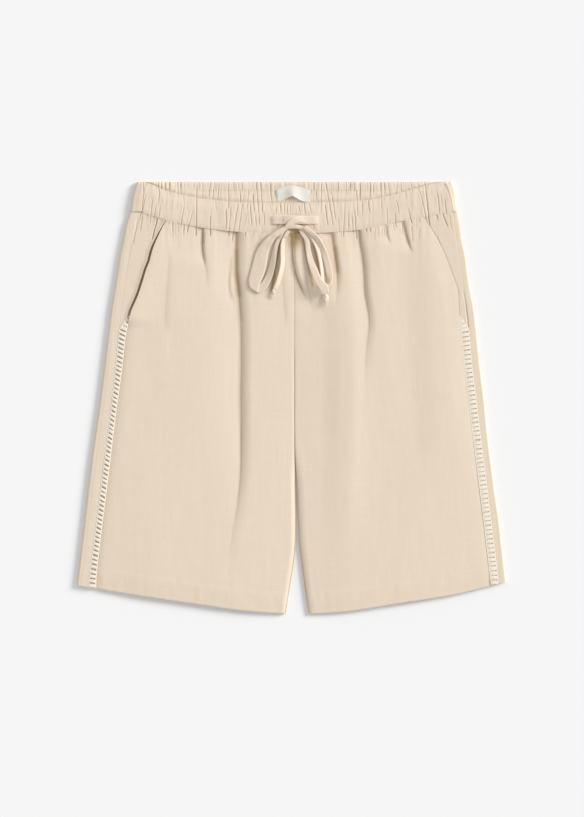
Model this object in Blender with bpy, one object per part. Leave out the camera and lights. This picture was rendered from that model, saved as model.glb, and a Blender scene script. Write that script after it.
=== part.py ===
"""Bermuda shorts with an elastic waist and a tied drawstring, laid flat on a surface with the front up.

The back panels lie on the surface, wrap round the outer folds and meet the front at the side seams.
Left and right are the viewer's, looking down on the front with the waist at the top (+Y).
Lengths in the tables and sizes below are millimetres; the meshes are made in metres.
"""
from collections import namedtuple
import math

import bmesh
import bpy
import numpy as np

# ---- driving sizes ------------------------------------------------------------------------------
METRE = 0.001
GAP = 0.3                   # clearance between neighbouring pieces
WALL = 1.2                  # body cloth
HEM_WALL = 1.8              # turned-up hem
HEM_DEPTH = 25.0
LEG_LENGTH = 465.0          # waist seam to hem, along the middle of a leg
SEAM_RISE = 5.0             # height of the body at its outer folds and seams
BAND_WALL = 1.8             # elastic casing
BAND_RISE = 5.8             # height of the casing at its side folds
WAIST_TOP = 264.4
WAIST_SEAM = 228.0          # lower edge of the back casing
BAND_GATHERS = 59           # gathers on each casing, front and back
GATHER_HEIGHT = 0.9
PUCKER_LENGTH = 13.0        # how far the waist gathers run down into the front panels
CROWN = 0.9                 # how much the front rises between its edges
LEG_ROLL = 2.2              # how much the front drops along the inner leg
LEG_ROLL_REACH = 7.0
SEAM_DIP = 0.5              # how much the front drops along the centre seam
SEAM_DIP_REACH = 4.0
POCKET_LIP = 1.0            # how much the front lifts along the pocket mouth
POCKET_LIP_REACH = 9.0
POCKET_END_Y = 105.0        # foot of the pocket mouths
POCKET_PIECE_END_Y = 92.0
POCKET_PIECE_UNDER = 11.0   # how far the pocket piece runs on under the front
CROTCH_Y = -51.0
LADDER_WALL = 1.0
LADDER_DROP = 0.1           # how far the openwork lies below the seam edges
LADDER_RAIL = 1.8           # width of a rail of the openwork trim
LADDER_PITCH = 5.5
LADDER_RUNG = 2.3
LADDER_TOP_Y = 83.0         # top of the outer rail, where the pocket mouth ends
LADDER_TOP_SLANT = 18.0     # the top edge climbs this much from the outer rail to the inner one
LADDER_LAST_SHARE = 0.5     # the rungs stop where the slanted top edge is this far across
LABEL_WALL = 1.0
LABEL_COLUMNS = 12
TIE_WALL = 1.8
TIE_EDGE_THIN = 0.5         # how much thinner the tie's edges are
RUN_COLUMNS = 5
CUSHION_POWER = 0.72        # below 1 squares a rounded lump
FLOOR_LIFT = 0.4            # least height of anything that lies on the back, above the back
BACK_FLAT_COLUMNS = 7
BAND_BACK_COLUMNS = 20

CLOTH = (0.80, 0.68, 0.55)
CLOTH_INSIDE = (0.76, 0.64, 0.51)
TRIM_THREAD = (0.93, 0.86, 0.76)
LABEL_CLOTH = (0.90, 0.88, 0.84)

# A row for each level across the shorts. Every column but the first is an x.
SECTION_COLUMNS = ("y", "left_fold", "left_seam", "left_front", "left_inner",
                   "right_inner", "right_front", "right_seam", "right_fold")
SECTIONS = (
    (228, -197.0, -183.0, -147.0, 3.7, 4.0, 157.0, 197.5, 203.0),
    (211, -202.5, -188.5, -158.0, 3.7, 4.0, 168.5, 199.5, 206.0),
    (193, -206.0, -194.0, -167.0, 3.7, 4.0, 179.5, 202.0, 208.5),
    (174, -210.0, -198.6, -174.5, 3.6, 3.9, 188.5, 204.5, 212.5),
    (154, -213.0, -202.2, -180.5, 3.5, 3.8, 196.0, 207.5, 215.0),
    (132, -216.5, -205.3, -189.0, 3.4, 3.7, 203.5, 211.0, 218.5),
    (108, -220.5, -208.3, -197.8, 3.2, 3.5, 205.0, 215.2, 223.0),
    (83, -223.5, -211.5, -201.3, 3.1, 3.4, 207.4, 217.6, 226.0),
    (47, -228.0, -215.0, -204.8, 3.1, 3.4, 210.3, 220.5, 229.5),
    (-2, -234.0, -220.0, -209.8, 3.1, 3.4, 216.0, 226.2, 235.5),
    (-51, -241.0, -226.2, -216.0, 3.2, 3.6, 222.0, 232.2, 240.5),
    (-100, -247.5, -232.6, -222.4, 4.2, 5.9, 228.2, 238.4, 246.6),
    (-149, -253.0, -238.8, -228.6, 5.0, 8.0, 234.2, 244.4, 253.5),
    (-180, -256.7, -242.7, -232.5, 4.6, 9.6, 237.9, 248.1, 257.0),
    (-204, -259.5, -245.8, -235.6, 2.1, 12.4, 240.7, 250.9, 259.7),
    (-229, -262.5, -248.8, -238.6, -1.8, 15.7, 243.5, 253.7, 262.8),
    (-265, -266.7, -253.3, -243.1, -7.6, 20.9, 247.9, 258.1, 267.2),
)

# Points along curved edges: x, y.
FRONT_SEAM = ((-183, 227), (-155, 218), (-106, 208), (-39, 202), (35, 202), (84, 206), (133, 216), (198, 228))
FRONT_BAND_TOP = ((-181, 263.6), (-173, 262.5), (-161, 257), (-106, 244), (-39, 239), (23, 239.5),
                  (108, 245), (157, 258), (176, 263), (193, 264))
LEFT_HEM = ((-263, -229), (-198, -240), (-124, -251), (-51, -261), (-8, -264))
RIGHT_HEM = ((15, -264.4), (59, -262), (133, -251), (206, -239), (263, -225))
BAND_ENDS = ((228, -197.0, -183.0, 197.5, 203.0), (242, -195.0, -181.5, 195.0, 200.5),
             (255, -192.0, -180.0, 191.0, 199.0), (264.4, -189.0, -178.5, 187.0, 195.8))
BAND_END_COLUMNS = ("y", "left_fold", "left_seam", "right_seam", "right_fold")

# Creases and soft ridges of the front. Height is at the crest, below zero in a trough.
Fold = namedtuple("Fold", "top_x top_y mid_x mid_y end_x end_y half_width height")
FOLDS = tuple(Fold(*row) for row in (
    (-66, 205, -59, 0, -69, -220, 8, -2.6),      # long crease of the left leg
    (-37, 195, -35, 0, -36, -190, 15, 2.3),      # ridge beside it
    (-86, 190, -83, 20, -86, -170, 14, 1.1),
    (-108, 206, -109, 178, -103, 140, 6, -1.6),
    (-76, 152, -75, 130, -73, 115, 6, -0.9),
    (-151, 162, -154, 120, -157, 70, 7, -1.0),
    (0, 196, 4, 160, 16, 124, 6, -1.2),          # crease under the bow, across the centre seam
    (48, 202, 56, 166, 57, 118, 7, -1.8),
    (83, 206, 88, 166, 95, 60, 7, -2.2),
    (116, 208, 119, 198, 122, 190, 6, -0.9),
    (135, 214, 143, 198, 148, 182, 6, -1.4),
    (68, 170, 78, 50, 74, -110, 13, 1.3),
    (47, 120, 47, 20, 51, -80, 11, -0.7),
    (151, 120, 158, 0, 170, -110, 15, -0.7),
    (115, 120, 127, 0, 133, -150, 17, 0.8),
))

# The openwork trims: how much higher a rung's outer end is than its inner end, at the hem and at the top.
Ladder = namedtuple("Ladder", "side tilt_at_hem tilt_at_top")
LADDERS = (Ladder("left", 1.8, 4.2), Ladder("right", 0.6, 1.6))

# The bow. Lift is the lowest edge's height over what lies below, turn is the direction in which the width is
# laid, seen from above, and tilt is how steeply it climbs that way. Each row: x, y, lift, width, turn, tilt.
Station = namedtuple("Station", "x y lift width turn tilt")
LEFT_LOOP = (
    (-8.6, 206.4, 1.6, 3.4, -42, 0), (-16.4, 192.0, 0.8, 4.4, -32, 8), (-20.4, 180.0, 0.4, 6.0, -26, 18),
    (-22.9, 165.5, 0.3, 7.6, -22, 24), (-26.6, 151.5, 0.3, 8.4, -22, 20), (-33.0, 139.0, 0.4, 9.5, -26, 8),
    (-41.0, 132.0, 1.6, 10.5, -30, 0), (-45.8, 132.6, 3.2, 12.0, -31, -2), (-46.2, 140.0, 4.1, 15.0, -28, -4),
    (-42.8, 150.6, 4.2, 17.0, -26, -4), (-39.3, 162.8, 4.3, 17.5, -25, -4),
    (-36.4, 175.0, 4.4, 16.0, -28, -4), (-31.4, 186.5, 4.7, 12.0, -32, -4),
    (-22.8, 197.0, 5.0, 8.0, -38, -2), (-7.9, 208.0, 5.0, 5.0, -44, 0),
)
RIGHT_LOOP = (
    (15.0, 207.2, 2.0, 4.0, 220, 0), (26.9, 193.4, 1.0, 5.0, 210, 25), (32.1, 181.2, 0.6, 5.2, 200, 38),
    (35.0, 168.9, 0.4, 5.2, 194, 42), (36.9, 156.7, 0.3, 5.2, 192, 40), (37.9, 145.4, 0.3, 4.8, 192, 30),
    (39.4, 139.8, 0.3, 4.8, 218, 32), (43.2, 137.2, 0.3, 5.0, 272, 34), (46.4, 139.9, 0.3, 5.8, 326, 30),
    (47.2, 145.5, 0.4, 6.6, 360, 20), (46.3, 153.0, 0.5, 7.8, 371, 10), (44.2, 163.5, 0.5, 8.2, 374, 8),
    (41.2, 174.0, 0.6, 8.0, 380, 12), (37.2, 184.5, 1.4, 7.0, 388, 24), (30.5, 196.0, 3.0, 6.4, 398, 28),
    (16.2, 208.9, 5.0, 5.0, 406, 0),
)
LEFT_TAIL = (
    (-3.4, 204.6, 1.6, 4.5, -14, 0), (-9.9, 193.0, 0.9, 4.8, -20, -18), (-11.0, 180.5, 0.4, 6.4, -4, -36),
    (-10.9, 167.0, 0.3, 7.0, -8, -42), (-13.1, 154.0, 0.3, 7.0, -10, -42), (-16.6, 142.0, 0.3, 6.6, -14, -38),
    (-20.3, 133.2, 0.2, 5.4, -18, -16),
)
RIGHT_TAIL = (
    (11.4, 204.6, 1.6, 4.5, 14, 0), (18.4, 193.4, 1.4, 5.8, 14, 0), (20.4, 181.2, 1.2, 6.2, 10, -4),
    (22.9, 168.9, 1.8, 7.6, 16, -6), (27.4, 156.7, 3.4, 8.8, 20, -4), (32.4, 144.4, 5.7, 9.2, 22, 0),
    (38.6, 135.6, 6.0, 10.5, 24, 0), (41.6, 128.3, 3.4, 7.4, 14, 0),
)
RUNS = (("tie_run_left", -24.0, -8.6), ("tie_run_right", 16.6, 32.5))      # name, from x, to x
RUN_Y = 217.5
RUN_WIDTH = 8.5
KNOT_CENTRE = (4.0, 214.0)
KNOT_HALF = (12.7, 9.9)
KNOT_HEIGHT = 7.0
# Knots in the ends of the tie: name, x, y, half width, half length, height.
TAIL_ENDS = (("tail_end_left", -21.7, 128.5, 3.3, 4.4, 4.2), ("tail_end_right", 42.2, 121.2, 5.0, 6.6, 6.6))

LABEL_X = (-19.0, 23.0)
LABEL_ENDS_Y = (240.6, 255.0)    # lower and upper edge where it is sewn
LABEL_ARCH = 5.6                 # how far the middle bows up the band
LABEL_LIFT = 2.4                 # how far the middle stands off the band


# ---- reading the tables -------------------------------------------------------------------------
def column(table, names, name):
    """One named column of a table."""
    return np.array([row[names.index(name)] for row in table], dtype=float)


def section_x(name, y):
    """X of a named edge of the body at height y."""
    levels = column(SECTIONS, SECTION_COLUMNS, "y")
    return np.interp(-y, -levels, column(SECTIONS, SECTION_COLUMNS, name))


def band_x(name, y):
    """X of a named edge of the casing at height y."""
    levels = column(BAND_ENDS, BAND_END_COLUMNS, "y")
    return np.interp(y, levels, column(BAND_ENDS, BAND_END_COLUMNS, name))


def curve_y(points, x):
    """Y of a curved edge at x, smooth through its points."""
    xs = np.array([point[0] for point in points], dtype=float)
    ys = np.array([point[1] for point in points], dtype=float)
    slopes = np.gradient(ys, xs)
    x = min(max(x, xs[0]), xs[-1])
    index = min(int(np.searchsorted(xs, x, side="right")) - 1, len(xs) - 2)
    span = xs[index + 1] - xs[index]
    t = (x - xs[index]) / span
    start = (2 * t ** 3 - 3 * t ** 2 + 1) * ys[index] + (t ** 3 - 2 * t ** 2 + t) * span * slopes[index]
    end = (3 * t ** 2 - 2 * t ** 3) * ys[index + 1] + (t ** 3 - t ** 2) * span * slopes[index + 1]
    return start + end


def wobble(index, seed):
    """A fixed, irregular number between -1 and 1 for each gather or rung."""
    value = math.sin(index * 12.9898 + seed * 78.233) * 43758.5453
    return 2 * (value - math.floor(value)) - 1


def smooth_step(value):
    value = min(max(value, 0.0), 1.0)
    return value * value * (3 - 2 * value)


# ---- heights ------------------------------------------------------------------------------------
def fold_height(fold, x, y):
    """Rise or fall of one fold at a point: a soft bell across it, fading at both ends."""
    if y > fold.top_y + fold.half_width or y < fold.end_y - fold.half_width:
        return 0.0
    level = min(max(y, fold.end_y), fold.top_y)
    from_top = level - fold.top_y
    from_mid = level - fold.mid_y
    from_end = level - fold.end_y
    upper = fold.top_y - fold.mid_y
    lower = fold.mid_y - fold.end_y
    length = fold.top_y - fold.end_y
    centre = from_mid * from_end / (upper * length) * fold.top_x
    centre -= from_top * from_end / (upper * lower) * fold.mid_x
    centre += from_top * from_mid / (length * lower) * fold.end_x
    fade = smooth_step((y - fold.end_y + fold.half_width) / (0.35 * length))
    fade *= smooth_step((fold.top_y + fold.half_width - y) / (fold.half_width + 0.1 * length))
    return fold.height * fade * math.exp(-((x - centre) / fold.half_width) ** 2)


def front_height(x, y):
    """Height of the front's outer face above the surface."""
    side = "left" if x < 0.5 * (section_x("left_inner", y) + section_x("right_inner", y)) else "right"
    inner = section_x(side + "_inner", y)
    outer = section_x(side + "_front", y)
    across = min(max((x - inner) / (outer - inner), 0.0), 1.0)
    height = SEAM_RISE + CROWN * math.sin(math.pi * across) ** 0.7
    below_crotch = smooth_step((CROTCH_Y + 60 - y) / 120)
    from_inner = abs(x - inner)
    height -= LEG_ROLL * below_crotch * math.exp(-(from_inner / LEG_ROLL_REACH) ** 2)
    height -= SEAM_DIP * (1 - below_crotch) * math.exp(-(from_inner / SEAM_DIP_REACH) ** 2)
    mouth = smooth_step((y - POCKET_END_Y) / 20)
    height += POCKET_LIP * mouth * math.exp(-((x - outer) / POCKET_LIP_REACH) ** 2)
    from_edge = min(abs(x - outer), 20.0) / 20.0
    height += sum(fold_height(fold, x, y) for fold in FOLDS) * smooth_step(from_edge + 0.2 * mouth)
    return max(height, HEM_WALL + FLOOR_LIFT + WALL)


def hem_share(x, y, hem):
    """0 on the body, 1 on the turned-up hem."""
    return smooth_step((curve_y(hem, x) + HEM_DEPTH - y) / 2.0 + 1.0)


def bow_floor(x, y):
    """Highest thing under the bow around a point."""
    highest = 0.0
    for step_x in (-3, 0, 3):
        for step_y in (-3, 0, 3):
            px = x + step_x
            py = y + step_y
            on_band = py > curve_y(FRONT_SEAM, px) - 1.0
            highest = max(highest, BAND_RISE + GATHER_HEIGHT if on_band else front_height(px, py))
    return highest


# ---- meshes -------------------------------------------------------------------------------------
def zip_rows(faces, row_a, params_a, row_b, params_b):
    """Triangles between two rows of vertices that may have different counts."""
    a = 0
    b = 0
    while a < len(row_a) - 1 or b < len(row_b) - 1:
        step_a = b == len(row_b) - 1
        if not step_a and a < len(row_a) - 1:
            step_a = params_a[a + 1] <= params_b[b + 1]
        if step_a:
            faces.append((row_a[a], row_a[a + 1], row_b[b]))
            a += 1
        else:
            faces.append((row_a[a], row_b[b + 1], row_b[b]))
            b += 1


def join_rows(faces, rows, params):
    for index in range(len(rows) - 1):
        zip_rows(faces, rows[index], params[index], rows[index + 1], params[index + 1])


def slab_mesh(upper, lower):
    """A closed wall between two faces, each a list of rows (level, [(across, point), ...])."""
    points = []
    faces = []
    sheets = []
    for face in (upper, lower):
        rows = []
        for level, row in face:
            rows.append(list(range(len(points), len(points) + len(row))))
            points.extend(point for across, point in row)
        levels = [level for level, row in face]
        across = [[place for place, point in row] for level, row in face]
        join_rows(faces, rows, across)
        sheets.append((rows, levels, across))
    (up, up_levels, up_across), (down, down_levels, down_across) = sheets
    for end in (0, -1):
        zip_rows(faces, up[end], up_across[end], down[end], down_across[end])
        zip_rows(faces, [row[end] for row in up], up_levels, [row[end] for row in down], down_levels)
    return points, faces


def add_part(name, points, faces, material, parent):
    """One closed, outward-facing object from points in millimetres."""
    mesh = bpy.data.meshes.new(name)
    mesh.from_pydata([tuple(METRE * value for value in point) for point in points], [], faces)
    part = bpy.data.objects.new(name, mesh)
    bpy.context.collection.objects.link(part)
    part.parent = parent
    face_outward(mesh)
    mesh.materials.append(material)
    mesh.shade_smooth()
    mesh.set_sharp_from_angle(angle=math.radians(40))
    return part


def face_outward(mesh):
    work = bmesh.new()
    work.from_mesh(mesh)
    bmesh.ops.recalc_face_normals(work, faces=work.faces)
    work.to_mesh(mesh)
    work.free()


def make_material(name, colour, roughness):
    material = bpy.data.materials.new(name)
    material.use_nodes = True
    shader = material.node_tree.nodes["Principled BSDF"]
    shader.inputs["Base Color"].default_value = (*colour, 1.0)
    shader.inputs["Roughness"].default_value = roughness
    shader.inputs["Metallic"].default_value = 0.0
    return material


# ---- sub-parts ----------------------------------------------------------------------------------
def place_on_panel(across, down, inner, outer, top, bottom):
    """The point a share across and a share down a panel with curved top and bottom."""
    x = (1 - across) * inner(0.0) + across * outer(0.0)
    y = 0.0
    for _ in range(12):
        y = (1 - down) * top(x) + down * bottom(x)
        x = (1 - across) * inner(y) + across * outer(y)
    return x, y


def gather_columns(count, seed):
    """Columns over a run of gathers, three to each: a narrow crease and a rounded, uneven crest."""
    columns = [(0.0, 0.0)]
    for index in range(count):
        crest = 0.8 + 0.2 * wobble(index, seed)
        start = index + (0.16 * wobble(index, seed + 1) if index else 0.0)
        end = index + 1 + (0.16 * wobble(index + 1, seed + 1) if index < count - 1 else 0.0)
        columns.append(((start + 0.34 * (end - start)) / count, crest))
        columns.append(((start + 0.7 * (end - start)) / count, 0.8 * crest))
        columns.append((end / count, 0.0))
    return columns


def panel_rows():
    """Shares down a panel: closer at the waist, and a step at the hem."""
    body = [0.03 + 0.88 * (index / 15) for index in range(16)]
    hem = 1 - HEM_DEPTH / LEG_LENGTH
    return body + [hem - 0.003, hem + 0.002, 1.0]


def front_panel(side, hem, gathers, material, parent):
    """One front: gathered at the waist, creased, rolled along the inner leg, hemmed."""
    def inner(y):
        return section_x(side + "_inner", y)

    def outer(y):
        return section_x(side + "_front", y)

    def top(x):
        return curve_y(FRONT_SEAM, x) - GAP

    def bottom(x):
        return curve_y(hem, x)

    def row(down, columns, outside):
        points = []
        for across, crest in columns:
            x, y = place_on_panel(across, down, inner, outer, top, bottom)
            turned = hem_share(x, y, hem)
            wall = WALL + (HEM_WALL - WALL) * turned
            height = front_height(x, y)
            pucker = GATHER_HEIGHT * crest * smooth_step((y - top(x)) / PUCKER_LENGTH + 1.0)
            height += pucker + (HEM_WALL - WALL) * turned if outside else -WALL
            points.append((across, (x, y, height)))
        return down, points

    coarse = [(index / gathers, 0.0) for index in range(gathers + 1)]
    fine = gather_columns(gathers, len(side))
    upper = [row(0.0, fine, True), row(0.012, fine, True)]
    upper += [row(down, coarse, True) for down in panel_rows()]
    lower = [row(down, coarse, False) for down in [0.0] + panel_rows()]
    points, faces = slab_mesh(upper, lower)
    return add_part("front_panel_" + side, points, faces, material, parent)


def wrap_profile(seam, fold, rise, wall, lower_x):
    """Outer and inner faces of cloth that lies flat, turns up round a fold and comes back to a seam."""
    sign = 1 if fold > seam else -1
    radius = rise / 2
    centre = fold - sign * radius
    turns = [math.radians(-90 + 36 * index) for index in range(6)]
    outside = [(x, 0.0) for x in lower_x]
    outside += [(centre + sign * radius * math.cos(turn), radius * (1 + math.sin(turn))) for turn in turns]
    outside.append((seam, rise))
    bend = radius - wall
    inside = [(x, wall) for x in lower_x]
    inside += [(centre + sign * bend * math.cos(turn), radius + bend * math.sin(turn)) for turn in turns]
    inside.append((seam, rise - wall))
    return outside, inside


def edge_point(name, down, top, hem):
    """Where a named edge of the body crosses a share down from a straight top to the hem."""
    y = top
    x = section_x(name, y)
    for _ in range(12):
        y = top + down * (curve_y(hem, x) - top)
        x = section_x(name, y)
    return float(x)


def back_panel(side, hem, material, parent):
    """One back: flat below, round the outer fold and up to the side seam on the front."""
    top = WAIST_SEAM - GAP
    hem_line = 1 - HEM_DEPTH / LEG_LENGTH
    levels = [0.0, 0.04, 0.08, 0.12, 0.16, 0.21, 0.26, 0.315, 0.39, 0.49, 0.61, 0.73, 0.85]
    upper = []
    lower = []
    for down in levels + [hem_line - 0.003, hem_line + 0.002, 1.0]:
        rows = ([], [])
        inner = edge_point(side + "_inner", down, top, hem)
        fold = edge_point(side + "_fold", down, top, hem)
        seam = edge_point(side + "_seam", down, top, hem)
        reach = fold - math.copysign(SEAM_RISE / 2, fold)
        flat = [inner + (reach - inner) * index / BACK_FLAT_COLUMNS for index in range(BACK_FLAT_COLUMNS)]
        wall = HEM_WALL if down > hem_line else WALL
        for face, profile in zip(rows, wrap_profile(seam, fold, SEAM_RISE, wall, flat)):
            for index, (x, z) in enumerate(profile):
                face.append((index, (x, top + down * (curve_y(hem, x) - top), z)))
        upper.append((down, rows[0]))
        lower.append((down, rows[1]))
    points, faces = slab_mesh(upper, lower)
    return add_part("back_panel_" + side, points, faces, material, parent)


def pocket_piece(side, material, parent):
    """The side front inside a slanted pocket mouth: level at the side seam, low under the front."""
    sign = -1 if side == "left" else 1
    levels = np.linspace(0.0, 1.0, 9)
    low = WALL + FLOOR_LIFT
    upper = []
    lower = []
    for down in levels:
        rows = ([], [])
        for across in (0.0, 0.2, 0.45, 0.7, 1.0):
            x = section_x(side + "_seam", WAIST_SEAM)
            y = 0.0
            for _ in range(12):
                top = curve_y(FRONT_SEAM, x) - GAP
                y = top + down * (POCKET_PIECE_END_Y - top)
                start = section_x(side + "_seam", y) - sign * GAP
                mouth = section_x(side + "_front", y)
                x = start + across * (mouth - sign * POCKET_PIECE_UNDER - start)
            fall = smooth_step((x - start) / ((mouth - start) * 0.7))
            under = (SEAM_RISE - WALL) * (1 - fall) + low * fall
            rows[0].append((across, (x, y, under + WALL)))
            rows[1].append((across, (x, y, under)))
        upper.append((down, rows[0]))
        lower.append((down, rows[1]))
    points, faces = slab_mesh(upper, lower)
    return add_part("pocket_piece_" + side, points, faces, material, parent)


def casing_row(level, y_at, place, columns, base, swell):
    """A row along a casing, at a share of its height, with its gathers."""
    points = []
    for across, crest in columns:
        x = place(across, level)
        points.append((across, (x, y_at(x, level), base + swell * GATHER_HEIGHT * crest)))
    return level, points


# Rows along a casing: share of its height, drop of the edge, share of the gathers' height.
CASING_LEVELS = ((0.0, -0.6, 0.5), (0.1, 0.0, 1.0), (0.5, 0.05, 1.1), (0.9, 0.0, 0.9), (1.0, -0.6, 0.5))


def waistband_front(material, parent):
    """The front casing, from side seam to side seam, dipping in the middle."""
    def place(across, level):
        left = band_x("left_seam", WAIST_SEAM + level * (WAIST_TOP - WAIST_SEAM)) + GAP
        right = band_x("right_seam", WAIST_SEAM + level * (WAIST_TOP - WAIST_SEAM)) - GAP
        return left + across * (right - left)

    def y_at(x, level):
        return (1 - level) * curve_y(FRONT_SEAM, x) + level * curve_y(FRONT_BAND_TOP, x)

    fine = gather_columns(BAND_GATHERS, 3)
    coarse = [(index / BAND_GATHERS, 0.0) for index in range(BAND_GATHERS + 1)]
    upper = [casing_row(level, y_at, place, fine, BAND_RISE + drop, swell)
             for level, drop, swell in CASING_LEVELS]
    lower = [casing_row(level, y_at, place, coarse, BAND_RISE - BAND_WALL, 0.0) for level in (0.0, 0.5, 1.0)]
    points, faces = slab_mesh(upper, lower)
    return add_part("waistband_front", points, faces, material, parent)


def waistband_back(material, parent):
    """The back casing, round both side folds. Its gathers stand on the inner face, which shows."""
    def profile(level):
        y = WAIST_SEAM + level * (WAIST_TOP - WAIST_SEAM)
        ends = [band_x(name, y) for name in BAND_END_COLUMNS[1:]]
        left_out, left_in = wrap_profile(ends[1], ends[0], BAND_RISE, BAND_WALL, [])
        right_out, right_in = wrap_profile(ends[2], ends[3], BAND_RISE, BAND_WALL, [])
        return left_out[::-1], left_in[::-1], right_out, right_in, y

    def row(level, gathers, outside, drop, swell):
        left_out, left_in, right_out, right_in, y = profile(level)
        left, right = (left_out, right_out) if outside else (left_in, right_in)
        start = left[-1][0]
        end = right[0][0]
        points = [((index - len(left)) * 0.01, (x, y, z)) for index, (x, z) in enumerate(left[:-1])]
        base = 0.0 if outside else BAND_WALL + drop
        for across, crest in gathers:
            x = start + across * (end - start)
            height = base + (0.0 if outside else swell * GATHER_HEIGHT * crest)
            points.append((across, (x, y, height)))
        points += [(1.01 + index * 0.01, (x, y, z)) for index, (x, z) in enumerate(right[1:])]
        return level, points

    fine = gather_columns(BAND_GATHERS, 5)
    coarse = [(index / BAND_BACK_COLUMNS, 0.0) for index in range(BAND_BACK_COLUMNS + 1)]
    outer = [row(level, coarse, True, 0.0, 0.0) for level in (0.0, 0.5, 1.0)]
    inner = [row(level, fine, False, drop * 0.5, swell) for level, drop, swell in CASING_LEVELS]
    points, faces = slab_mesh(outer, inner)
    return add_part("waistband_back", points, faces, material, parent)


def ladder_rungs(ladder, hem):
    """For each rung the height of its inner end, its tilt, and how far across its outer end is."""
    bottom = curve_y(hem, section_x(ladder.side + "_seam", hem[0][1]))
    rungs = []
    y = bottom
    while True:
        index = len(rungs)
        risen = (y - bottom) / (LADDER_TOP_Y - bottom)
        tilt = ladder.tilt_at_hem + (ladder.tilt_at_top - ladder.tilt_at_hem) * risen
        tilt *= min(index / 4, 1.0)
        outer_share = max((y + tilt - LADDER_TOP_Y) / (LADDER_TOP_SLANT + tilt), 0.0)
        if outer_share > LADDER_LAST_SHARE:
            return rungs
        rungs.append((y, tilt, outer_share))
        y += LADDER_PITCH


def ladder_trim(ladder, hem, material, parent):
    """The openwork insertion: two rails joined by rungs, every gap between them cut through."""
    sign = -1 if ladder.side == "left" else 1
    rungs = ladder_rungs(ladder, hem)
    points = []
    faces = []

    def rail_point(rung, edge, offset, z):
        inner_y, tilt, outer_share = rung
        y = inner_y + tilt * (1 - outer_share) + offset
        for _ in range(3):
            start = section_x(ladder.side + "_seam", y) - sign * GAP
            end = section_x(ladder.side + "_front", y) + sign * GAP
            rail = LADDER_RAIL / abs(start - end)
            share = {"outer": outer_share, "outer_rail": outer_share + rail,
                     "inner_rail": 1 - rail, "inner": 1.0}[edge]
            y = inner_y + tilt * (1 - share) + offset
        points.append((start + share * (end - start), y, z))
        return len(points) - 1

    last = len(rungs) - 1
    sheets = []
    for z in (SEAM_RISE - LADDER_DROP, SEAM_RISE - LADDER_DROP - LADDER_WALL):
        chains = {"outer": [], "inner": [], "outer_rail": [], "inner_rail": []}
        for index, rung in enumerate(rungs):
            for edge in ("outer", "inner"):
                chains[edge].append(rail_point(rung, edge, 0.0, z))
            for edge in ("outer_rail", "inner_rail"):
                chains[edge].append(rail_point(rung, edge, -LADDER_RUNG / 2 if index else 0.0, z))
                chains[edge].append(rail_point(rung, edge, LADDER_RUNG / 2 if index < last else 0.0, z))
        sheets.append(chains)
    ends = list(range(last + 1))
    half = 0.5 * LADDER_RUNG / LADDER_PITCH
    rung_ends = [index + offset for index in ends
                 for offset in (-half if index else 0.0, half if index < last else 0.0)]
    for chains in sheets:
        zip_rows(faces, chains["outer"], ends, chains["outer_rail"], rung_ends)
        zip_rows(faces, chains["inner_rail"], rung_ends, chains["inner"], ends)
        for index in ends:
            low = 2 * index
            faces.append((chains["outer_rail"][low], chains["inner_rail"][low],
                          chains["inner_rail"][low + 1], chains["outer_rail"][low + 1]))
    top, under = sheets
    for edge in ("outer", "inner"):
        for index in range(last):
            faces.append((top[edge][index], top[edge][index + 1], under[edge][index + 1], under[edge][index]))
    for index in range(last):
        ring = [("outer_rail", 2 * index + 1), ("outer_rail", 2 * index + 2),
                ("inner_rail", 2 * index + 2), ("inner_rail", 2 * index + 1)]
        for (edge_a, at_a), (edge_b, at_b) in zip(ring, ring[1:] + ring[:1]):
            faces.append((top[edge_a][at_a], top[edge_b][at_b], under[edge_b][at_b], under[edge_a][at_a]))
    for end in (0, -1):
        order = ("outer", "outer_rail", "inner_rail", "inner")
        for edge_a, edge_b in zip(order, order[1:]):
            faces.append((top[edge_a][end], top[edge_b][end], under[edge_b][end], under[edge_a][end]))
    return add_part("ladder_trim_" + ladder.side, points, faces, material, parent)


def label(material, parent):
    """A woven label, sewn at its ends and arched between them."""
    upper = []
    lower = []
    base = BAND_WALL + 1.1 * GATHER_HEIGHT + GAP
    for level in (0.0, 0.5, 1.0):
        rows = ([], [])
        for index in range(LABEL_COLUMNS + 1):
            across = index / LABEL_COLUMNS
            arch = math.sin(math.pi * across) ** 2
            x = LABEL_X[0] + across * (LABEL_X[1] - LABEL_X[0])
            y = LABEL_ENDS_Y[0] + level * (LABEL_ENDS_Y[1] - LABEL_ENDS_Y[0]) + LABEL_ARCH * arch
            z = base + LABEL_LIFT * arch
            rows[0].append((across, (x, y, z + LABEL_WALL)))
            rows[1].append((across, (x, y, z)))
        upper.append((level, rows[0]))
        lower.append((level, rows[1]))
    points, faces = slab_mesh(upper, lower)
    return add_part("label", points, faces, material, parent)


def smooth_stations(table, steps):
    """Stations of a tie, smooth through the table's rows."""
    rows = np.array(table, dtype=float)
    slopes = np.gradient(rows, axis=0)
    stations = []
    for index in range(len(rows) - 1):
        for step in range(steps):
            t = step / steps
            start = (2 * t ** 3 - 3 * t ** 2 + 1) * rows[index] + (t ** 3 - 2 * t ** 2 + t) * slopes[index]
            end = (3 * t ** 2 - 2 * t ** 3) * rows[index + 1] + (t ** 3 - t ** 2) * slopes[index + 1]
            stations.append(Station(*(start + end)))
    stations.append(Station(*rows[-1]))
    return stations


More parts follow.
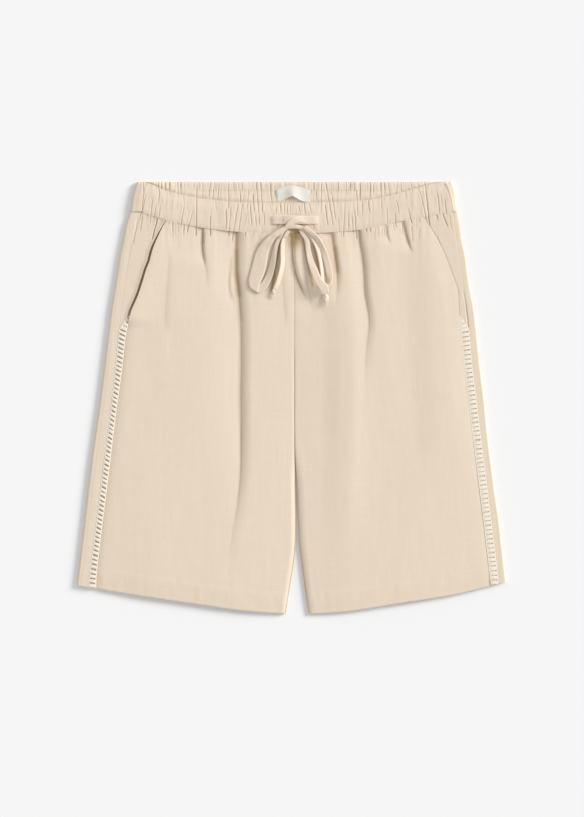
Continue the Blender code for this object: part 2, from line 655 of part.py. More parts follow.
def tie_strip(name, table, material, parent):
    """A flat stretch of the tie along its table, with its width along each row's turn and tilt."""
    stations = smooth_stations(table, 2)
    centres = []
    for station in stations:
        tilt = math.radians(station.tilt)
        middle = station.lift + TIE_WALL / 2 * math.cos(tilt) + station.width / 2 * abs(math.sin(tilt))
        centres.append((station.x, station.y, bow_floor(station.x, station.y) + GAP + middle))
    centres = np.array(centres)
    along = np.gradient(centres, axis=0)
    upper = []
    lower = []
    for index, station in enumerate(stations):
        turn = math.radians(station.turn)
        tilt = math.radians(station.tilt)
        across = np.array([math.cos(turn) * math.cos(tilt), math.sin(turn) * math.cos(tilt), math.sin(tilt)])
        normal = np.cross(along[index], across)
        normal /= np.linalg.norm(normal)
        rows = ([], [])
        for place in (-1.0, -0.55, 0.55, 1.0):
            thick = (TIE_WALL - (TIE_EDGE_THIN if abs(place) == 1.0 else 0.0)) / 2
            middle = centres[index] + across * place * station.width / 2
            rows[0].append((place, tuple(middle + normal * thick)))
            rows[1].append((place, tuple(middle - normal * thick)))
        upper.append((index, rows[0]))
        lower.append((index, rows[1]))
    points, faces = slab_mesh(upper, lower)
    return add_part(name, points, faces, material, parent)


def cushion_mesh(centre, half, bottom, height, sides, rings):
    """A flattened, rounded lump, wider than a ball towards its corners."""
    points = []
    faces = []

    def squared(value):
        return math.copysign(abs(value) ** CUSHION_POWER, value)

    for ring in range(1, rings):
        tilt = math.pi * ring / rings - math.pi / 2
        z = bottom + height * (0.5 + 0.5 * squared(math.sin(tilt)))
        reach = squared(math.cos(tilt))
        for index in range(sides):
            turn = 2 * math.pi * index / sides
            x = centre[0] + squared(math.cos(turn)) * half[0] * reach
            y = centre[1] + squared(math.sin(turn)) * half[1] * reach
            points.append((x, y, z))
    for ring in range(rings - 2):
        for index in range(sides):
            following = (index + 1) % sides
            low = ring * sides
            high = low + sides
            faces.append((low + index, low + following, high + following, high + index))
    faces.append(tuple(range(sides - 1, -1, -1)))
    faces.append(tuple((rings - 2) * sides + index for index in range(sides)))
    return points, faces


def drawstring(material, parent):
    """The tied bow, from the buttonholes to the two knotted ends."""
    band_top = BAND_RISE + 1.1 * GATHER_HEIGHT + GAP
    for name, start, end in RUNS:
        upper = []
        lower = []
        for index in range(RUN_COLUMNS + 1):
            x = start + (end - start) * index / RUN_COLUMNS
            rows = ([], [])
            for place in (-1.0, -0.6, 0.6, 1.0):
                y = RUN_Y + place * RUN_WIDTH / 2
                thin = TIE_EDGE_THIN / 2 if abs(place) == 1.0 else 0.0
                rows[0].append((place, (x, y, band_top + TIE_WALL - thin)))
                rows[1].append((place, (x, y, band_top + thin)))
            upper.append((index, rows[0]))
            lower.append((index, rows[1]))
        points, faces = slab_mesh(upper, lower)
        add_part(name, points, faces, material, parent)
    points, faces = cushion_mesh(KNOT_CENTRE, KNOT_HALF, band_top, KNOT_HEIGHT, 20, 9)
    add_part("bow_knot", points, faces, material, parent)
    for name, table in (("bow_loop_left", LEFT_LOOP), ("bow_loop_right", RIGHT_LOOP),
                        ("tie_tail_left", LEFT_TAIL), ("tie_tail_right", RIGHT_TAIL)):
        tie_strip(name, table, material, parent)
    for name, x, y, half_width, half_length, height in TAIL_ENDS:
        bottom = bow_floor(x, y) + GAP
        points, faces = cushion_mesh((x, y), (half_width, half_length), bottom, height, 12, 6)
        add_part(name, points, faces, material, parent)


def main():
    for item in list(bpy.data.objects):
        bpy.data.objects.remove(item, do_unlink=True)
    shorts = bpy.data.objects.new("bermuda_shorts", None)
    bpy.context.collection.objects.link(shorts)
    cloth = make_material("cloth", CLOTH, 0.85)
    inside = make_material("cloth_inside", CLOTH_INSIDE, 0.9)
    thread = make_material("trim_thread", TRIM_THREAD, 0.7)
    woven = make_material("label_cloth", LABEL_CLOTH, 0.6)
    for ladder, hem, gathers in zip(LADDERS, (LEFT_HEM, RIGHT_HEM), (24, 26)):
        back_panel(ladder.side, hem, cloth, shorts)
        front_panel(ladder.side, hem, gathers, cloth, shorts)
        pocket_piece(ladder.side, inside, shorts)
        ladder_trim(ladder, hem, thread, shorts)
    waistband_back(cloth, shorts)
    waistband_front(cloth, shorts)
    label(woven, shorts)
    drawstring(cloth, shorts)


main()
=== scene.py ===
"""Bermuda shorts laid flat, with the front up: fine cloth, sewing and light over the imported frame.

Left and right are the viewer's, looking down on the front. Tables are in millimetres.
"""
import math
from collections import namedtuple

import bmesh
import bpy
import numpy as np
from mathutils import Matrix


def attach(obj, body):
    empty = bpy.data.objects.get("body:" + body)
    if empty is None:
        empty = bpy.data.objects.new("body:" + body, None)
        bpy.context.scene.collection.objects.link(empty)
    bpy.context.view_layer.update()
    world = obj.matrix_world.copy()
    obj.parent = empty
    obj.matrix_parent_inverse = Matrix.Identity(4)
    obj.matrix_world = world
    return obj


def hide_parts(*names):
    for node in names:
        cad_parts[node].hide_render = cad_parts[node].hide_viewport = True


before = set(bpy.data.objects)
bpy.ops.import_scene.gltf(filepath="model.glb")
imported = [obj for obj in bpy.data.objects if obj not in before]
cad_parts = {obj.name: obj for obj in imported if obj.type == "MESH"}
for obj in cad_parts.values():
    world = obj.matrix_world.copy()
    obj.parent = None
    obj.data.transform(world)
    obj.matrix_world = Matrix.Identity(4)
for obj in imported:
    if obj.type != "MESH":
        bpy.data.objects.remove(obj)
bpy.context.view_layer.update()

MM = 0.001

# ---- sizes shared with the solids ----
SEAM_RISE = 5.0
BAND_RISE = 5.8
WAIST_TOP = 264.4
WAIST_SEAM = 228.0
HEM_DEPTH = 25.0
GAP = 0.3
CLOTH_WALL = 1.1
FRONT_ARCH = 1.5            # how far each front rises between its two edges
BAND_WALL = 1.8
HEM_EXTRA = 0.2             # the turned-up hem's extra thickness
HEM_EDGE = 1.6              # width of the step up to it
BAND_PUFF = 1.2             # how far the casing puffs up between its gathers
SLIT_HALF = 0.55            # half the width of a narrow crease
VALLEY_DEPTH = 0.7          # a crease this deep gets the full painted shade
WIDE_STEP = 15.0            # wider steps rise softly all the way
SIGN = {"left": -1.0, "right": 1.0}

SECTION_NAMES = ("y", "left_fold", "left_seam", "left_front", "left_inner", "right_inner", "right_front",
                 "right_seam", "right_fold")
SECTIONS = np.array((
    (228, -197, -183, -147, 3.7, 4, 157, 197.5, 203),
    (211, -202.5, -188.5, -158, 3.7, 4, 168.5, 199.5, 206),
    (193, -206, -194, -167, 3.7, 4, 179.5, 202, 208.5),
    (174, -210, -198.6, -174.5, 3.6, 3.9, 188.5, 204.5, 212.5),
    (154, -213, -202.2, -180.5, 3.5, 3.8, 196, 207.5, 215),
    (132, -216.5, -205.3, -189, 3.4, 3.7, 203.5, 211, 218.5),
    (108, -220.5, -208.3, -197.8, 3.2, 3.5, 205, 215.2, 223),
    (83, -223.5, -211.5, -201.3, 3.1, 3.4, 207.4, 217.6, 226),
    (47, -228, -215, -204.8, 3.1, 3.4, 210.3, 220.5, 229.5),
    (-2, -234, -220, -209.8, 3.1, 3.4, 216, 226.2, 235.5),
    (-51, -241, -226.2, -216, 3.2, 3.6, 222, 232.2, 240.5),
    (-100, -247.5, -232.6, -222.4, 4.2, 5.9, 228.2, 238.4, 246.6),
    (-149, -253, -238.8, -228.6, 5, 8, 234.2, 244.4, 253.5),
    (-180, -256.7, -242.7, -232.5, 4.6, 9.6, 237.9, 248.1, 257),
    (-204, -259.5, -245.8, -235.6, 2.1, 12.4, 240.7, 250.9, 259.7),
    (-229, -262.5, -248.8, -238.6, -1.8, 15.7, 243.5, 253.7, 262.8),
    (-265, -266.7, -253.3, -243.1, -7.6, 20.9, 247.9, 258.1, 267.2),
))
FRONT_SEAM = np.array(((-183, 227), (-155, 218), (-106, 208), (-39, 202), (35, 202), (84, 206),
                       (133, 216), (198, 228)))
FRONT_BAND_TOP = np.array(((-181, 263.6), (-173, 262.5), (-161, 257), (-106, 244), (-39, 239),
                           (23, 239.5), (108, 245), (157, 258), (176, 263), (193, 264)))
HEMS = {
    "left": np.array(((-263, -229), (-198, -240), (-124, -251), (-51, -261), (-8, -264))),
    "right": np.array(((15, -264.4), (59, -262), (133, -251), (206, -239), (263, -225))),
}
BAND_ENDS = np.array(((228, -197, -183, 197.5, 203), (242, -195, -181.5, 195, 200.5),
                      (255, -192, -180, 191, 199), (264.4, -189, -178.5, 187, 195.8)))

# ---- creases of the front ----
# A fold sinks to its line over `reach` from the left and climbs back over `width` to the right. A step
# rises over `width` and dies away over `reach`. A ridge or a groove is a bell `width` to each side. `top`
# and `foot` are the lengths over which a crease fades at its ends.
Crease = namedtuple("Crease", "form line height width reach top foot")
CREASES = [Crease(*row) for row in (
    ("fold", ((-67.3, 213), (-68.5, 181), (-68.6, 154), (-65.4, 126), (-62.8, 95), (-62.4, -2),
     (-61.8, -51), (-63, -100), (-67.9, -143), (-74.1, -180), (-75.3, -229)),
     4.4, 15, 42, 4, 210),
    ("groove", ((-67, 213), (-68.2, 181), (-68.3, 154), (-65.1, 126), (-62.6, 90)),
     1.4, 1.4, 0, 4, 50),
    ("fold", ((-74.1, 161), (-76.5, 142), (-74.1, 126), (-67.9, 112)), 0.8, 2.8, 9, 14, 12),
    ("fold", ((-108.3, 213), (-108.9, 193), (-107.7, 175), (-104.7, 157)), 2.2, 3.4, 14, 3, 22),
    ("step", ((-108.9, 193), (-107.7, 175), (-104.7, 157), (-103.4, 130)), 0.8, 7, 14, 16, 30),
    ("step", ((-149.9, 168), (-152.4, 138), (-153.6, 114), (-156.1, 75)), 0.7, 9, 20, 20, 30),
    ("step", ((-10.4, 140), (-9.2, 120), (-6.7, 84)), 0.7, 8, 14, 14, 20),
    ("step", ((-0.6, 203), (1.2, 181), (2.4, 166), (6.7, 149), (14.1, 131), (20, 118)),
     3.6, 4.6, 16, 6, 24),
    ("ridge", ((-80.2, 193), (-80.2, 83), (-81.4, -64), (-85.1, -235)), 0.6, 46, 0, 60, 120),
    ("fold", ((48.6, 205), (51.4, 184), (53.9, 170), (55.7, 155), (54.5, 104)), 2.7, 8, 22, 3, 60),
    ("fold", ((81.4, 211), (83.4, 190), (86.4, 175), (88.8, 150), (89.6, 130), (95, 95), (92, 59),
     (89, -2)), 3.2, 10.5, 26, 3, 150),
    ("fold", ((115.1, 213), (116.5, 202), (121.8, 186)), 1.3, 4, 12, 2, 12),
    ("fold", ((135.3, 221), (138.6, 205), (142.6, 190), (148.7, 174)), 2, 5.5, 14, 2, 20),
    ("step", ((32.4, 140), (36.1, 83), (36.1, -2), (34.9, -100), (32.4, -223)), 1.4, 26, 34, 60, 120),
    ("groove", ((3.5, 205), (3, 190)), 2.2, 4.5, 0, 6, 8),
    ("step", ((19, 141), (22, 125), (23.5, 108)), 1.5, 9, 20, 20, 16),
    ("ridge", ((67.9, 166), (74.1, 120), (76.5, 47), (75.3, -27), (71.6, -125), (69.2, -198)),
     0.7, 11, 0, 50, 90),
    ("step", ((137.7, 190), (140.1, 120), (143.8, 47), (147.5, -39), (149.9, -125)),
     1.2, 34, 44, 50, 120),
    ("ridge", ((104.4, 200), (110.1, 120), (115.8, 22), (120.2, -64)), 0.6, 20, 0, 40, 80),
)]

# Gathers of the casing, some running on below its seam: x and y of the top, x and y of the foot, depth.
GATHERS = (
    (-181.3, 268, -182, 252, 1.4), (-178.5, 248, -183.3, 227, 1.1), (-170.3, 243, -173.6, 214, 1),
    (-165.4, 238, -168.7, 220, 0.8), (-163.6, 268, -161.9, 247, 1.4), (-161.2, 233, -162.5, 221, 1.2),
    (-159.7, 268, -159.7, 256, 1.1), (-154.8, 268, -154.8, 254, 1.2), (-149.9, 268, -149.9, 254, 1.6),
    (-139.6, 268, -139.2, 248, 0.9), (-136, 268, -135, 250, 0.9), (-131.8, 234, -135.8, 211, 1),
    (-131.5, 268, -130.9, 249, 0.8), (-121.9, 226, -128, 203, 1), (-116.1, 260, -117, 199, 1.2),
    (-109.1, 268, -109, 244, 0.8), (-99.7, 222, -99.7, 199, 1.5), (-99.5, 268, -101.2, 247, 1.1),
    (-96.1, 255, -96.1, 243, 1), (-95, 268, -93.5, 256, 1), (-93.3, 241, -92.1, 230, 0.8),
    (-88.7, 268, -90.3, 242, 1.3), (-80.2, 231, -80.2, 207, 1.7), (-77.6, 268, -77.1, 232, 1.1),
    (-74.4, 234, -76.9, 199, 1.1), (-65.6, 238, -73, 192, 1.1), (-63, 252, -63, 239, 1.4),
    (-60.2, 238, -64.9, 204, 1), (-58.4, 252, -59.2, 241, 0.8), (-54.1, 226, -58, 212, 0.8),
    (-52.9, 253, -54.5, 231, 0.8), (-50.9, 237, -49.2, 212, 1.3), (-47.5, 249, -45.8, 228, 1.4),
    (-44.7, 222, -43.1, 212, 1), (-43.6, 268, -40.5, 226, 0.9), (-39.8, 222, -39.8, 212, 1.6),
    (-38.3, 268, -35.7, 227, 1.3), (-33.7, 227, -33.7, 212, 1), (-27.3, 268, -24, 237, 1.3),
    (-19, 234, -19, 226, 1), (-14.4, 239, -13, 227, 1.3), (-9.2, 238, -9.2, 226, 0.9),
    (-4.9, 239, -5.7, 226, 1.2), (-1.8, 236, -1.8, 227, 1), (8.9, 234, 10.3, 227, 1.3),
    (15.2, 238, 16.8, 226, 1.2), (21.4, 238, 24.2, 226, 1), (26.6, 268, 27.3, 253, 1),
    (30, 254, 30, 243, 1.1), (36.6, 268, 35.8, 227, 1), (41, 236, 44.1, 212, 1.6), (41, 268, 50.5, 212, 1.1),
    (48.3, 254, 53.9, 218, 1), (56.9, 268, 56.9, 254, 1.4), (57.4, 220, 58, 204, 0.8),
    (65.2, 237, 63.1, 198, 0.9), (66.7, 268, 66.7, 249, 1), (69.7, 226, 69.6, 209, 0.9),
    (71.6, 268, 71.6, 255, 1.3), (73.7, 223, 75.3, 203, 1), (76.5, 268, 76.5, 254, 1.4),
    (76.8, 230, 79.5, 195, 1.1), (79.3, 254, 80.8, 223, 1.1), (83.8, 268, 83.8, 242, 1.5),
    (86.3, 241, 86.3, 223, 1), (93.5, 243, 95.2, 228, 1.2), (96.1, 268, 96.1, 245, 1.1),
    (101.3, 268, 99.9, 250, 1), (108.4, 268, 110.4, 232, 0.9), (112.9, 268, 114.5, 249, 0.8),
    (116.6, 233, 116.8, 214, 0.9), (117.5, 268, 119.6, 248, 0.8), (126.3, 226, 127.9, 209, 0.9),
    (128.6, 241, 131.7, 225, 0.8), (129.5, 268, 128, 250, 0.9), (134, 268, 134, 254, 1),
    (139.3, 268, 139.6, 244, 0.9), (143, 230, 147.1, 214, 1.1), (146, 268, 147.2, 254, 0.9),
    (157, 253, 164.9, 218, 0.9), (162.5, 268, 168.8, 212, 1.5), (178.8, 250, 180.9, 227, 1.4),
    (182.8, 249, 184.4, 237, 0.8), (187.6, 242, 189.3, 226, 1.1),
)
PUCKERS = (
    (-188.5, 220, -193.9, 189, 0.8), (-183, 223, -185, 205, 0.8), (-164.2, 220, -170.6, 195, 1.8),
    (91.2, 210, 91.2, 204, 1.1), (96.1, 210, 96.1, 203, 1), (141.3, 199, 145.6, 183, 0.9),
    (176.5, 227, 178.9, 218, 0.8), (178.2, 199, 181, 188, 0.6), (184.8, 226, 190.7, 210, 1.2),
    (193, 224, 196, 206, 0.5),
)

# ---- the bow, on the solids' own route: x, y, lift, width, turn and tilt of the width ----
TIE_WALL = 1.8
LEFT_LOOP = (
    (-8.6, 206.4, 1.6, 3.4, -42, 0), (-16.4, 192, 0.8, 4.4, -32, 8), (-20.4, 180, 0.4, 6, -26, 18),
    (-22.9, 165.5, 0.3, 7.6, -22, 24), (-26.6, 151.5, 0.3, 8.4, -22, 20), (-33, 139, 0.4, 9.5, -26, 8),
    (-41, 132, 0.5, 10.5, -30, 0), (-45.8, 132.6, 0.4, 12, -31, 2), (-46.2, 140, 0.2, 15, -28, 4),
    (-42.8, 150.6, 0.1, 17, -26, 5), (-39.3, 162.8, 0.2, 17.5, -25, 5), (-36.4, 175, 0.8, 16, -28, 3),
    (-31.4, 186.5, 2.3, 12, -32, -1), (-22.8, 197, 4.2, 8, -38, -2), (-7.9, 208, 5, 5, -44, 0),
)
RIGHT_LOOP = (
    (15, 207.2, 2, 4, 220, 0), (26.9, 193.4, 1, 5, 210, 25), (32.1, 181.2, 0.6, 5.2, 200, 38),
    (35, 168.9, 0.4, 5.2, 194, 42), (36.9, 156.7, 0.3, 5.2, 192, 40), (37.9, 145.4, 0.3, 4.8, 192, 30),
    (39.4, 139.8, 0.3, 4.8, 218, 32), (43.2, 137.2, 0.3, 5, 272, 34), (46.4, 139.9, 0.3, 5.8, 326, 30),
    (47.2, 145.5, 0.4, 6.6, 360, 20), (46.3, 153, 0.5, 7.8, 371, 10), (44.2, 163.5, 0.5, 8.2, 374, 8),
    (41.2, 174, 0.6, 8, 380, 12), (37.2, 184.5, 1.4, 7, 388, 24), (30.5, 196, 3, 6.4, 398, 28),
    (16.2, 208.9, 5, 5, 406, 0),
)
LEFT_TAIL = (
    (-3.4, 204.6, 1.6, 4.5, -14, 0), (-9.9, 193, 0.9, 4.8, -20, -18), (-11, 180.5, 0.4, 6.4, -4, -36),
    (-10.9, 167, 0.3, 7, -8, -42), (-13.1, 154, 0.3, 7, -10, -42), (-16.6, 142, 0.3, 6.6, -14, -38),
    (-20.3, 133.2, 0.2, 5.4, -18, -16),
)
RIGHT_TAIL = (
    (11.4, 204.6, 1.6, 4.5, 14, 0), (18.4, 193.4, 1.4, 5.8, 14, 0), (20.4, 181.2, 1.2, 6.2, 10, -4),
    (22.9, 168.9, 1.8, 7.6, 16, -6), (27.4, 156.7, 3.4, 8.8, 20, -4), (32.4, 144.4, 5.7, 9.2, 22, 0),
    (38.6, 135.6, 6, 11.6, 24, 0), (41.6, 128.3, 3.4, 9.8, 22, 0),
)


# ---- small numeric helpers ----
def spline(xs, ys, x):
    """Smooth values at x through the points xs, ys (xs ascending), level past both ends."""
    x = np.clip(x, xs[0], xs[-1])
    slopes = np.gradient(ys, xs)
    index = np.clip(np.searchsorted(xs, x, side="right") - 1, 0, len(xs) - 2)
    span = xs[index + 1] - xs[index]
    t = (x - xs[index]) / span
    first = (2 * t ** 3 - 3 * t ** 2 + 1) * ys[index] + (t ** 3 - 2 * t ** 2 + t) * span * slopes[index]
    last = (3 * t ** 2 - 2 * t ** 3) * ys[index + 1] + (t ** 3 - t ** 2) * span * slopes[index + 1]
    return first + last


def curve(points, x):
    return spline(points[:, 0], points[:, 1], x)


def at_height(table, column, y):
    """A column of a table whose first column is y, from the top down."""
    return spline(-table[:, 0], table[:, column], -y)


def edge(name, y):
    """X of a named edge of the body at y."""
    return at_height(SECTIONS, SECTION_NAMES.index(name), y)


def ramp(value):
    """A soft step from 0 to 1."""
    value = np.clip(value, 0.0, 1.0)
    return value * value * (3 - 2 * value)


def bell(distance, width, power=2):
    """1 at no distance, dying away over the width."""
    return np.exp(-(distance / width) ** power)


def squarer(values, power):
    """Sines or cosines pushed out towards -1 and 1, which makes a circle squarer."""
    return np.sign(values) * np.abs(values) ** power


def lattice(x, y, cell_x, cell_y, seed):
    """Smooth random relief between -1 and 1, with soft cells of the given size."""
    table = np.random.RandomState(seed).uniform(-1, 1, (64, 64))
    u = x / cell_x + 200.0
    v = y / cell_y + 200.0
    i = np.floor(u).astype(int)
    j = np.floor(v).astype(int)
    s = ramp(u - i)
    t = ramp(v - j)
    low = table[i % 64, j % 64] * (1 - s) + table[(i + 1) % 64, j % 64] * s
    high = table[i % 64, (j + 1) % 64] * (1 - s) + table[(i + 1) % 64, (j + 1) % 64] * s
    return low * (1 - t) + high * t


def crease_height(crease, x, y):
    line = np.array(crease.line)
    d = x - at_height(line[:, ::-1], 1, y)
    rise = np.clip(d / crease.width, 0.0, 1.0)
    if crease.form == "fold":
        shape = -(1 - rise) ** 2.2 * np.exp(np.minimum(d, 0.0) / crease.reach)
    elif crease.form == "step":
        shape = ramp(rise) if crease.width > WIDE_STEP else 1 - (1 - rise) ** 2.4
        shape *= bell(np.maximum(d - crease.width, 0.0), crease.reach)
    else:
        shape = bell(d, crease.width) * (-1 if crease.form == "groove" else 1)
    fade = ramp((line[0, 1] - y) / crease.top + 1.0) * ramp((y - line[-1, 1]) / crease.foot)
    return crease.height * shape * fade


def slit_relief(slits, x, y):
    """Narrow creases between soft lips, along short lines that waver a little."""
    height = np.zeros_like(x)
    for index, (top_x, top_y, foot_x, foot_y, depth) in enumerate(slits):
        share = (top_y - y) / (top_y - foot_y)
        centre = top_x + (foot_x - top_x) * share + 0.16 * np.sin(0.4 * y + 2.1 * index)
        d = np.abs(x - centre)
        fade = ramp((top_y - y) / 3.0 + 0.6) * ramp((y - foot_y) / 3.0 + 0.6)
        height += depth * fade * (0.08 * bell(d - 1.7, 0.9) - 0.9 * bell(d, SLIT_HALF, 1.5))
    return height


def random_slits(count, left, right, low, high, depths, seed):
    rng = np.random.RandomState(seed)
    slits = ()
    for _ in range(count):
        x = rng.uniform(left, right)
        middle = rng.uniform(low, high)
        half = rng.uniform(3.0, 9.0)
        slits += ((x, middle + half, x + rng.uniform(-1.6, 1.6), middle - half, rng.uniform(*depths)),)
    return slits


def front_z(x, y):
    """Height of the front's outer face, without the waist's gathers and puckers."""
    left = x < 0.5 * (edge("left_inner", y) + edge("right_inner", y))
    inner = np.where(left, edge("left_inner", y), edge("right_inner", y))
    outer = np.where(left, edge("left_front", y), edge("right_front", y))
    across = np.clip((x - inner) / (outer - inner), 0.0, 1.0)
    z = SEAM_RISE + GAP + FRONT_ARCH * np.sin(math.pi * across) ** 0.7
    # the creases die away towards the rolled inner legs and, in part, towards the outer edge
    leg = ramp((-40.0 - y) / 60.0)
    hold = (1 - leg * (1 - ramp(np.abs(x - inner) / 14.0))) * (0.4 + 0.6 * ramp(np.abs(outer - x) / 22.0))
    folds = sum(crease_height(crease, x, y) for crease in CREASES)
    folds += 0.30 * lattice(x, y, 36, 120, 3) + 0.09 * lattice(x, y, 12, 34, 4)
    folds += 0.04 * lattice(x, y, 4.5, 11, 5)
    return z + folds * (0.12 + 0.88 * hold)


def bow_floor(x, y):
    """Highest thing under the bow around a point."""
    px, py = np.meshgrid(x + np.array((-3, 0, 3)), y + np.array((-3, 0, 3)))
    on_band = py > curve(FRONT_SEAM, px) - 1.0
    return float(np.max(np.where(on_band, BAND_RISE + BAND_PUFF, front_z(px, py))))


# ---- meshes ----
def new_object(name, points, faces, material, sharp):
    """A smooth-shaded mesh from points in millimetres, with its faces outwards, riding on the shorts."""
    mesh = bpy.data.meshes.new(name)
    mesh.from_pydata((np.asarray(points) * MM).tolist(), [], faces)
    mesh.materials.append(material)
    work = bmesh.new()
    work.from_mesh(mesh)
    bmesh.ops.recalc_face_normals(work, faces=work.faces)
    work.to_mesh(mesh)
    work.free()
    mesh.shade_smooth()
    mesh.set_sharp_from_angle(angle=math.radians(sharp))
    piece = bpy.data.objects.new(name, mesh)
    bpy.context.collection.objects.link(piece)
    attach(piece, "root")
    return piece


def stand_for(solid):
    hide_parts(solid)


def grid_faces(rows, columns, start=0, flip=False, wrap=False):
    """Quads over a grid of vertices, row by row."""
    index = start + np.arange(rows * columns).reshape(rows, columns)
    if wrap:
        index = np.hstack([index, index[:, :1]])
    a = index[:-1, :-1].ravel()
    b = index[:-1, 1:].ravel()
    c = index[1:, 1:].ravel()
    d = index[1:, :-1].ravel()
    return np.stack([a, d, c, b] if flip else [a, b, c, d], axis=1).tolist()


def tube_faces(rings, sides, start=0):
    """Faces of a tube of rings of vertices, closed at both ends."""
    last = start + (rings - 1) * sides
    ends = [list(range(start, start + sides)), list(range(last + sides - 1, last - 1, -1))]
    return grid_faces(rings, sides, start, wrap=True) + ends


def shell(upper, lower):
    """A closed wall between two grids of points of the same shape (rows, columns, 3)."""
    rows, columns = upper.shape[:2]
    points = np.vstack([upper.reshape(-1, 3), lower.reshape(-1, 3)])
    count = rows * columns
    index = np.arange(count).reshape(rows, columns)
    rim = np.concatenate([index[0, :], index[1:, -1], index[-1, -2::-1], index[-2:0:-1, 0]])
    following = np.roll(rim, -1)
    sides = np.stack([rim, following, following + count, rim + count], axis=1)
    a = upper[0, 1] - upper[0, 0]
    b = upper[1, 0] - upper[0, 0]
    flip = (a[0] * b[1] - a[1] * b[0]) < 0
    faces = grid_faces(rows, columns, 0, flip)
    faces += grid_faces(rows, columns, count, not flip)
    faces += (sides if flip else sides[:, ::-1]).tolist()
    return points, faces


def valleys(z, reach):
    """How deep each point of a grid lies in a narrow valley across its columns, from 0 to 1."""
    padded = np.pad(z, ((0, 0), (reach, reach)), mode="edge")
    total = np.cumsum(np.pad(padded, ((0, 0), (1, 0))), axis=1)
    mean = (total[:, 2 * reach + 1:] - total[:, :-(2 * reach + 1)]) / (2 * reach + 1)
    return np.clip((mean - z) / VALLEY_DEPTH, 0.0, 1.0)


def layers(x, y, z, wall):
    """The two faces of a cloth: the upper one, and the one that lies a wall below it."""
    return np.stack([x, y, z], axis=2), np.stack([x, y, z - wall], axis=2)


def cloth_over(solid, name, grids, material, painted_shade, sharp=60):
    """Cloth shown for a solid between two grids of points, with each grid's share of painted shade."""
    points, faces = shell(*grids)
    piece = new_object(name, points, faces, material, sharp)
    values = np.zeros(len(points))
    for start, grid in zip((0, len(points) // 2), painted_shade):
        values[start:start + grid.size] = grid.ravel()
    # the painted shade reaches the material as the crease attribute
    piece.data.attributes.new("crease", "FLOAT", "POINT").data.foreach_set("value", values)
    stand_for(solid)
    return piece


# ---- camera ----
VIEW_HEIGHT = 5.0
FRAME_HEIGHT = 1.0          # the frame shows this many metres from top to bottom
SENSOR = 36.0
FOCUS_RISE = 0.006          # height above the table at which the scale is true
VIEW_CENTRE = (0.0006, -0.0129)

camera_data = bpy.data.cameras.new("camera")
camera_data.sensor_fit = "VERTICAL"
camera_data.sensor_height = SENSOR
camera_data.lens = SENSOR * VIEW_HEIGHT / FRAME_HEIGHT
camera_data.clip_end = 50.0
camera = bpy.data.objects.new("camera", camera_data)
camera.location = (*VIEW_CENTRE, VIEW_HEIGHT + FOCUS_RISE)
bpy.context.collection.objects.link(camera)
bpy.context.scene.camera = camera


# ---- materials ----
def connect(tree, made, inputs):
    """Gives each input of a node its value, or a link from another node's output."""
    for name, value in inputs.items():
        if isinstance(value, bpy.types.NodeSocket):
            tree.links.new(value, made.inputs[name])
        else:
            made.inputs[name].default_value = value


def node(tree, kind, inputs, **settings):
    made = tree.nodes.new(kind)
    for name, value in settings.items():
        setattr(made, name, value)
    connect(tree, made, inputs)
    return made


def new_material(name, inputs):
    material = bpy.data.materials.new(name)
    material.use_nodes = True
    tree = material.node_tree
    connect(tree, tree.nodes["Principled BSDF"], inputs)
    return material, tree


def mixed(tree, share, first, second):
    """The colour at a share of the way from the first to the second."""
    colours = {"Factor": share, "A": first, "B": second}
    return node(tree, "ShaderNodeMix", colours, data_type="RGBA").outputs["Result"]


def finish_material(tree, colour, height, strength, distance):
    """Gives the shader its colour and its fine relief."""
    bump = node(tree, "ShaderNodeBump", {"Height": height, "Strength": strength, "Distance": distance})
    connect(tree, tree.nodes["Principled BSDF"], {"Base Color": colour, "Normal": bump.outputs["Normal"]})


def cloth_material(name, light, dark, grain=1.0, weave=1.0):
    """Plain-woven linen blend: warp and weft threads, slubs along both, and slow colour drift."""
    material, tree = new_material(name, {
        "Roughness": 0.92, "Specular IOR Level": 0.12, "Sheen Weight": 0.12, "Sheen Roughness": 0.6,
        "Subsurface Weight": 0.2, "Subsurface Radius": (1.0, 0.65, 0.4), "Subsurface Scale": 0.0015})
    place = node(tree, "ShaderNodeTexCoord", {}).outputs["Object"]

    def texture(kind, stretch, inputs, **settings):
        stretched = node(tree, "ShaderNodeMapping", {"Vector": place, "Scale": stretch}).outputs["Vector"]
        return node(tree, kind, {"Vector": stretched, **inputs}, **settings).outputs["Fac"]

    def noise(stretch, scale, detail, roughness):
        return texture("ShaderNodeTexNoise", stretch,
                       {"Scale": scale, "Detail": detail, "Roughness": roughness})

    def threads_along(direction, stretch):
        return texture("ShaderNodeTexWave", stretch,
                       {"Scale": 1.0, "Distortion": 1.2, "Detail": 1.0, "Detail Scale": 1.0},
                       wave_type="BANDS", bands_direction=direction)

    def computed(operation, *values):
        return node(tree, "ShaderNodeMath", dict(enumerate(values)), operation=operation).outputs[0]

    slubs = computed("ADD", noise((620, 26, 120), 1.0, 3.0, 0.6), noise((30, 700, 120), 1.0, 3.0, 0.6))
    drift = noise((1, 0.35, 1), 14.0, 2.0, 0.5)
    spread = node(tree, "ShaderNodeMapRange",
                  {"Value": computed("MULTIPLY_ADD", drift, 0.6, slubs), "From Min": 0.95, "From Max": 1.65})
    woven = mixed(tree, spread.outputs["Result"], (*dark, 1.0), (*light, 1.0))
    # painted shade: the crease attribute darkens and warms the colour where creases hold less light
    crease = node(tree, "ShaderNodeAttribute", {}, attribute_name="crease")
    colour = mixed(tree, crease.outputs["Fac"], woven, (*PAINTED_SHADE_COLOUR, 1.0))
    fine = 600 * grain
    threads = computed("ADD", threads_along("X", (fine, 24, fine)), threads_along("Y", (24, fine, 24)))
    finish_material(tree, colour, computed("MULTIPLY_ADD", slubs, 1.6, threads), 0.12 * weave, 0.00012)
    return material


